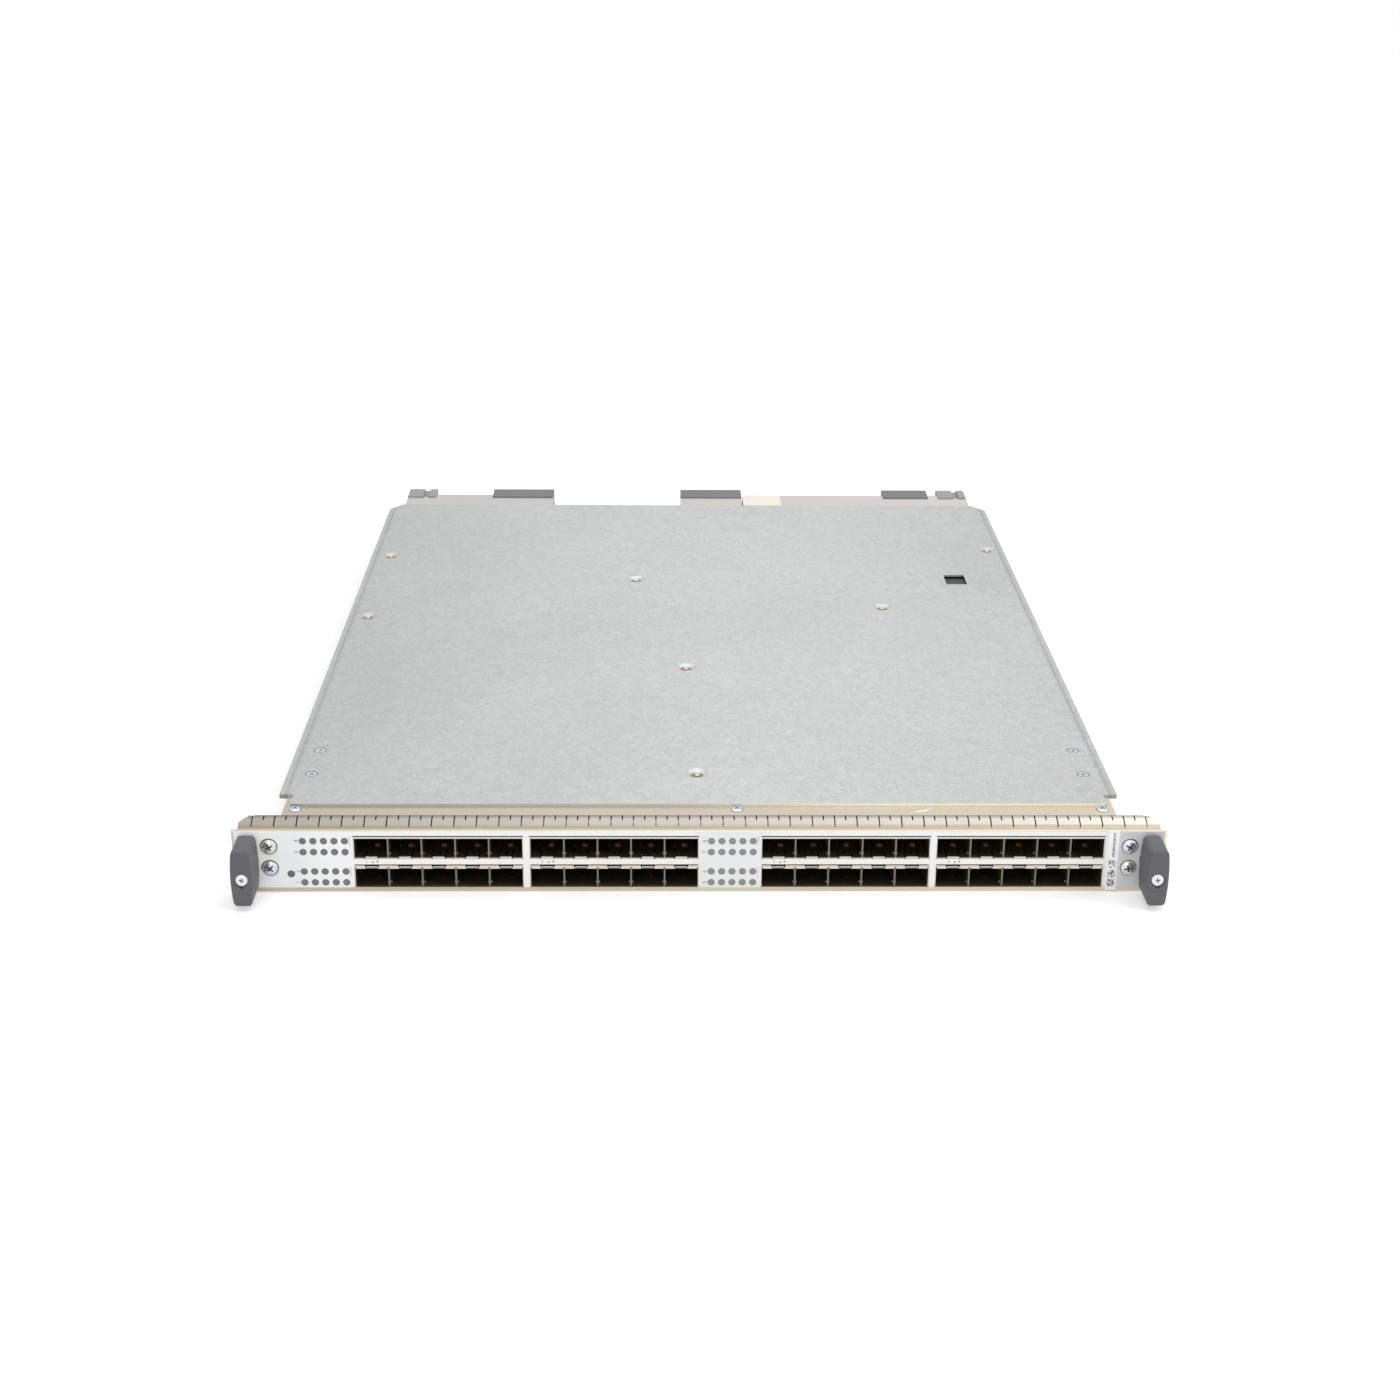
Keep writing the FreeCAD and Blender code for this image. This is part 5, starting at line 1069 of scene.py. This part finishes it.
# %% Print the sticker
STICKER_LEFT, STICKER_RIGHT = 173.5, 178.1
BARS_LOW, BARS_HIGH = 16.6, 27.4
SQUARES_LOW = (2.6, 6.9, 11.4)
BLOCK, BLOCK_COLUMNS, BLOCK_ROWS, BLOCK_SHARE = 0.44, 7, 8, 0.55


def print_sticker():
    low, high = box_mm("blank_sticker")
    near = low[1] - FACE_Y
    paper = laid("sticker_paper", [block((STICKER_LEFT, near, low[2]),
                                         (STICKER_RIGHT, 0, high[2]))], FINISHES["label_paper"])
    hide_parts("blank_sticker")
    chance = random.Random(11)
    outlines = []
    z = BARS_LOW
    while z < BARS_HIGH:
        height = chance.choice((0.16, 0.3, 0.44))
        outlines.append(rect(STICKER_LEFT + 2.0, z, chance.choice((0.9, 1.3)), height))
        z += height + chance.choice((0.18, 0.3))
    for base in SQUARES_LOW:
        for row in range(BLOCK_ROWS):
            for column in range(BLOCK_COLUMNS):
                if chance.random() < BLOCK_SHARE:
                    outlines.append(rect(STICKER_LEFT + 0.75 + column * BLOCK, base + row * BLOCK,
                                         BLOCK, BLOCK))
    plates("sticker_print", outlines, INKS["dark"], y=near)
    return len(outlines)


print("sticker marks:", print_sticker())

# %% [markdown]
# ## Inside the ports
# Every port has small stops pressed out of its side walls, and a contact finger on its floor
# that grounds the transceiver.  They are only a few tenths of a millimetre high.  The stops are
# painted brighter than the wall they are pressed from, a painted highlight in front of a dark hole
# that gives each port its sparkle.  The fingers in the lower row and the tab faces above the lower
# ports are painted darker, as painted shade.

# %% Set out the stops and the contact fingers
# Painted highlight: the stops are the cage metal painted brighter.
STOP_HIGHLIGHT = finish("stop_highlight_finish", (232, 226, 216), 0.8, 0.3, 200.0, 0.08)
COPPER = finish("contact_finger_finish", (196, 138, 74), 0.2, 0.45, 200.0, 0.15)
LIP_METAL = finish("cage_lip_finish", (216, 208, 192), 0.8, 0.35, 200.0, 0.08)
# Painted shade: the cage metal, darker on the tab faces above the lower ports.
TAB_SHADE = finish("cage_tab_shade_finish", (146, 142, 134), 0.8, 0.35, 200.0, 0.12)
# Painted shade: the same copper, darker for the fingers of the lower row.
COPPER_SHADED = finish("contact_shaded_finish", (84, 58, 38), 0.6, 0.5, 200.0, 0.15)
UPPER_FLOOR, LOWER_FLOOR = 15.9, 2.3
FLOOR_HALF = PORT_PITCH * 2.5 - 0.3
STOP_BACK, STOP_UP = 3.4, 0.5
FINGER_SHIFT, UPPER_FINGER_BACK, LOWER_FINGER_BACK = 1.25, 11.5, 9.0
TAB_WIDTH, TAB_LOW, TAB_HEIGHT = 5.1, 10.97, 0.55
LIP_SHIFT, LIP_WIDTH, LIP_LOW, LIP_HEIGHT = 4.7, 4.0, 10.8, 0.72


def wedge(name, width, length, height):
    """A ramp pressed out of sheet: low at the front, high at the back."""
    half = width / 2
    points = [(-half, 0, 0), (half, 0, 0), (half, length, 0), (-half, length, 0),
              (-half, length, height), (half, length, height), (half, length * 0.4, height),
              (-half, length * 0.4, height)]
    faces = [(0, 1, 2, 3), (3, 2, 5, 4), (4, 5, 6, 7), (7, 6, 1, 0), (0, 3, 4, 7), (1, 6, 5, 2)]
    return faceted(name, points, faces)


def port_places(floor, dx, y, dz=0.0):
    """A place in each port of the row on this floor."""
    return [(at(x + PORT_PITCH * i + dx, y, floor + dz), UPRIGHT, WHOLE)
            for x in BLOCK_X for i in range(-2, 3)]


def dress_ports():
    # A block's last port has no neighbour on its right, so its wall carries no stop.
    stops = [row for floor in (UPPER_FLOOR, LOWER_FLOOR)
             for k, row in enumerate(port_places(floor, PORT_PITCH / 2, STOP_BACK, STOP_UP))
             if k % 5 < 4]
    set_out("port_stops", wedge("stop", 1.7, 1.2, 0.4), stops, STOP_HIGHLIGHT)
    upper = port_places(UPPER_FLOOR, FINGER_SHIFT, UPPER_FINGER_BACK)
    lower = port_places(LOWER_FLOOR, FINGER_SHIFT, LOWER_FINGER_BACK)
    set_out("upper_contacts", wedge("finger", 2.0, 3.0, 0.3), upper, COPPER)
    set_out("lower_contacts", wedge("finger", 2.0, 3.0, 0.3), lower, COPPER_SHADED)
    lips, covers = [], []
    for x in BLOCK_X:
        for i in range(-2, 3):
            middle = x + PORT_PITCH * i
            covers.append(rect(middle - TAB_WIDTH / 2, TAB_LOW, TAB_WIDTH, TAB_HEIGHT))
            lips += [rect(middle + shift - LIP_WIDTH / 2, LIP_LOW, LIP_WIDTH, LIP_HEIGHT)
                     for shift in (-LIP_SHIFT, LIP_SHIFT)]
    plates("lower_cage_lips", lips, LIP_METAL, y=0.85, rise=0.4)
    plates("lower_tab_faces", covers, TAB_SHADE, y=0.5, rise=0.05)
    # The lower port floors take the cage's painted shade, darker deeper in.
    laid("lower_port_floors", [block((x - FLOOR_HALF, 0.8, LOWER_FLOOR - 0.02),
                                     (x + FLOOR_HALF, 40, LOWER_FLOOR + 0.03))
                               for x in BLOCK_X], INSIDE_SHADE)
    return len(stops) + len(upper) + len(lower)


print("port details:", dress_ports())

# %% [markdown]
# ## Rings in the dimples
# The tray is clamped in seven dimples.  Round the stud on each dimple floor lies a thin turned
# ring in a brown finish.

# %% Lay the rings
# The brown finish of the rings round the studs.
DIMPLE_RING_BROWN = finish("dimple_ring_finish", (150, 132, 108), 0.1, 0.55, 500.0, 0.2)
DIMPLES = ((-172.6, 371.0), (-173.0, 267.0), (-30.7, 329.5), (-4.2, 191.6), (-0.7, 58.9),
           (103.2, 283.0), (174.0, 384.0))
DIMPLE_DEEP, STUD_RISE = 1.2, 0.5
DOME = [(0, 0.34), (0.7, 0.3), (1.15, 0.16), (1.3, 0), (0, 0)]


def dimple_rings():
    floor = TRAY_TOP - DIMPLE_DEEP
    rows = [(at(x, y, floor), UPRIGHT, WHOLE) for x, y in DIMPLES]
    set_out("dimple_rings", ring_mesh("ring", 1.45, 2.9, 0.06), rows, DIMPLE_RING_BROWN)
    dome = faceted("dome", *lathe(DOME, 20), smooth=True)
    tops = [(at(x, y, floor + STUD_RISE), UPRIGHT, WHOLE) for x, y in DIMPLES]
    set_out("stud_domes", dome, tops, FINISHES["stud_brass"])
    return len(rows)


print("dimples:", dimple_rings())

# %% [markdown]
# ## Edge strips of painted light and shade
# The front edge of the tray is painted bright towards the right, a painted highlight where it
# catches the light; behind the crest of the rolled-over spring strip, a dark strip is painted
# shadow.  Both are lines of a few tenths of a millimetre that the eye picks up at once, so each is
# a thin strip laid along the edge.

# %% Lay the edge strips
# Painted highlight: grey on the left, near white towards the right of the tray's front edge.
EDGE_HIGHLIGHT = finish("edge_highlight_finish", along(
    "X", -180, 180, (0.0, 176, 180, 178), (0.45, 190, 192, 186), (0.72, 250, 247, 226),
    (1.0, 250, 247, 226)), 0.6, 0.35, 60.0, 0.06)
# Painted shadow: a dark strip behind the crest of the spring strip.
EDGE_SHADOW = finish("rolled_edge_shadow", (84, 76, 62), 0.5, 0.5, 60.0, 0.1)
TRAY_EDGE_HALF, GASKET_EDGE_HALF = 176.6, 190.0
BRIGHT_SPOT = [(91.0, 18.9), (96.5, 19.1), (101.5, 23.3), (96.0, 21.4)]


def edge_strips():
    front = box_mm("carrier_tray")[0][1] - FACE_Y
    laid("tray_front_edge", [block((-TRAY_EDGE_HALF, front - 0.05, TRAY_TOP - 0.9),
                                   (TRAY_EDGE_HALF, front + 0.35, TRAY_TOP + 0.02))], EDGE_HIGHLIGHT)
    laid("gasket_rear_edge", [block((-GASKET_EDGE_HALF, 10.6, 30.3),
                                    (GASKET_EDGE_HALF, 11.0, 30.97))], EDGE_SHADOW)
    return 2


# A whiter patch on the flange, in the white zinc finish.
laid("flange_scuff", [slab(BRIGHT_SPOT, FLANGE_TOP, FLANGE_TOP + 0.02)], WHITE_ZINC)
print("edge strips:", edge_strips())

# %% [markdown]
# ## Threads
# Behind the face each jackscrew carries a rolled M5 thread.  It is one ridge wound along the
# shank: a small triangle swept up a helix, closed at both ends.

# %% Wind the threads
THREAD_ROOT, THREAD_CREST, THREAD_PITCH, THREAD_HALF = 2.45, 2.5, 0.8, 0.34
THREAD_START, THREAD_LENGTH = 6.4, 23.6
THREAD_STEPS = 14


def wind_thread(side, sign):
    turns = int(THREAD_LENGTH / THREAD_PITCH)
    points, faces = [], []
    for k in range(turns * THREAD_STEPS + 1):
        angle = math.tau * k / THREAD_STEPS
        centre = THREAD_START + THREAD_PITCH * k / THREAD_STEPS
        for radius, shift in ((THREAD_ROOT, -THREAD_HALF), (THREAD_CREST, 0.0),
                              (THREAD_ROOT, THREAD_HALF)):
            points.append((radius * math.cos(angle), centre + shift, radius * math.sin(angle)))
        if k:
            faces += bridge(k * 3 - 3, k * 3, 3)
    last = len(points) - 3
    faces += [(0, 2, 1), (last, last + 1, last + 2)]
    mesh = faceted("thread", points, faces, smooth=True)
    mesh.transform(Matrix.Translation(at(KNOB_X * sign, 0, KNOB_Z)))
    riding("thread_" + side, mesh, FINISHES["spindle_steel"], side + "_jackscrew")
    return turns


print("turns:", wind_thread("left", -1), wind_thread("right", 1))

# %% [markdown]
# ## The underside of the board
# The board carries hundreds of small passive parts between its large packages.  A seeded
# random series strews them over the bands of the board that the packages leave bare.

# %% Strew the passive parts
PASSIVE = finish("passive_finish", (128, 112, 92), 0.1, 0.45, 300.0, 0.2)
BOARD_UNDER = 25.7
BOARD_HALF, PASSIVES_PER_MM = 168, 3
BARE_BANDS = ((60, 112), (186, 194), (236, 243), (284, 344), (360, 374), (418, 455))


def strew_passives():
    chance = random.Random(5)
    rows = []
    for low, high in BARE_BANDS:
        for _ in range((high - low) * PASSIVES_PER_MM):
            x = chance.uniform(-BOARD_HALF, BOARD_HALF)
            y = chance.uniform(low, high)
            turn = (0, 0, math.pi / 2 * chance.randint(0, 1))
            size = chance.uniform(0.8, 1.6)
            rows.append((at(x, y, BOARD_UNDER), turn, (size, size, size)))
    template = faceted("passive", *block((-0.8, -0.4, -0.5), (0.8, 0.4, 0)))
    set_out("passive_parts", template, rows, PASSIVE)
    return len(rows)


print("passive parts:", strew_passives())
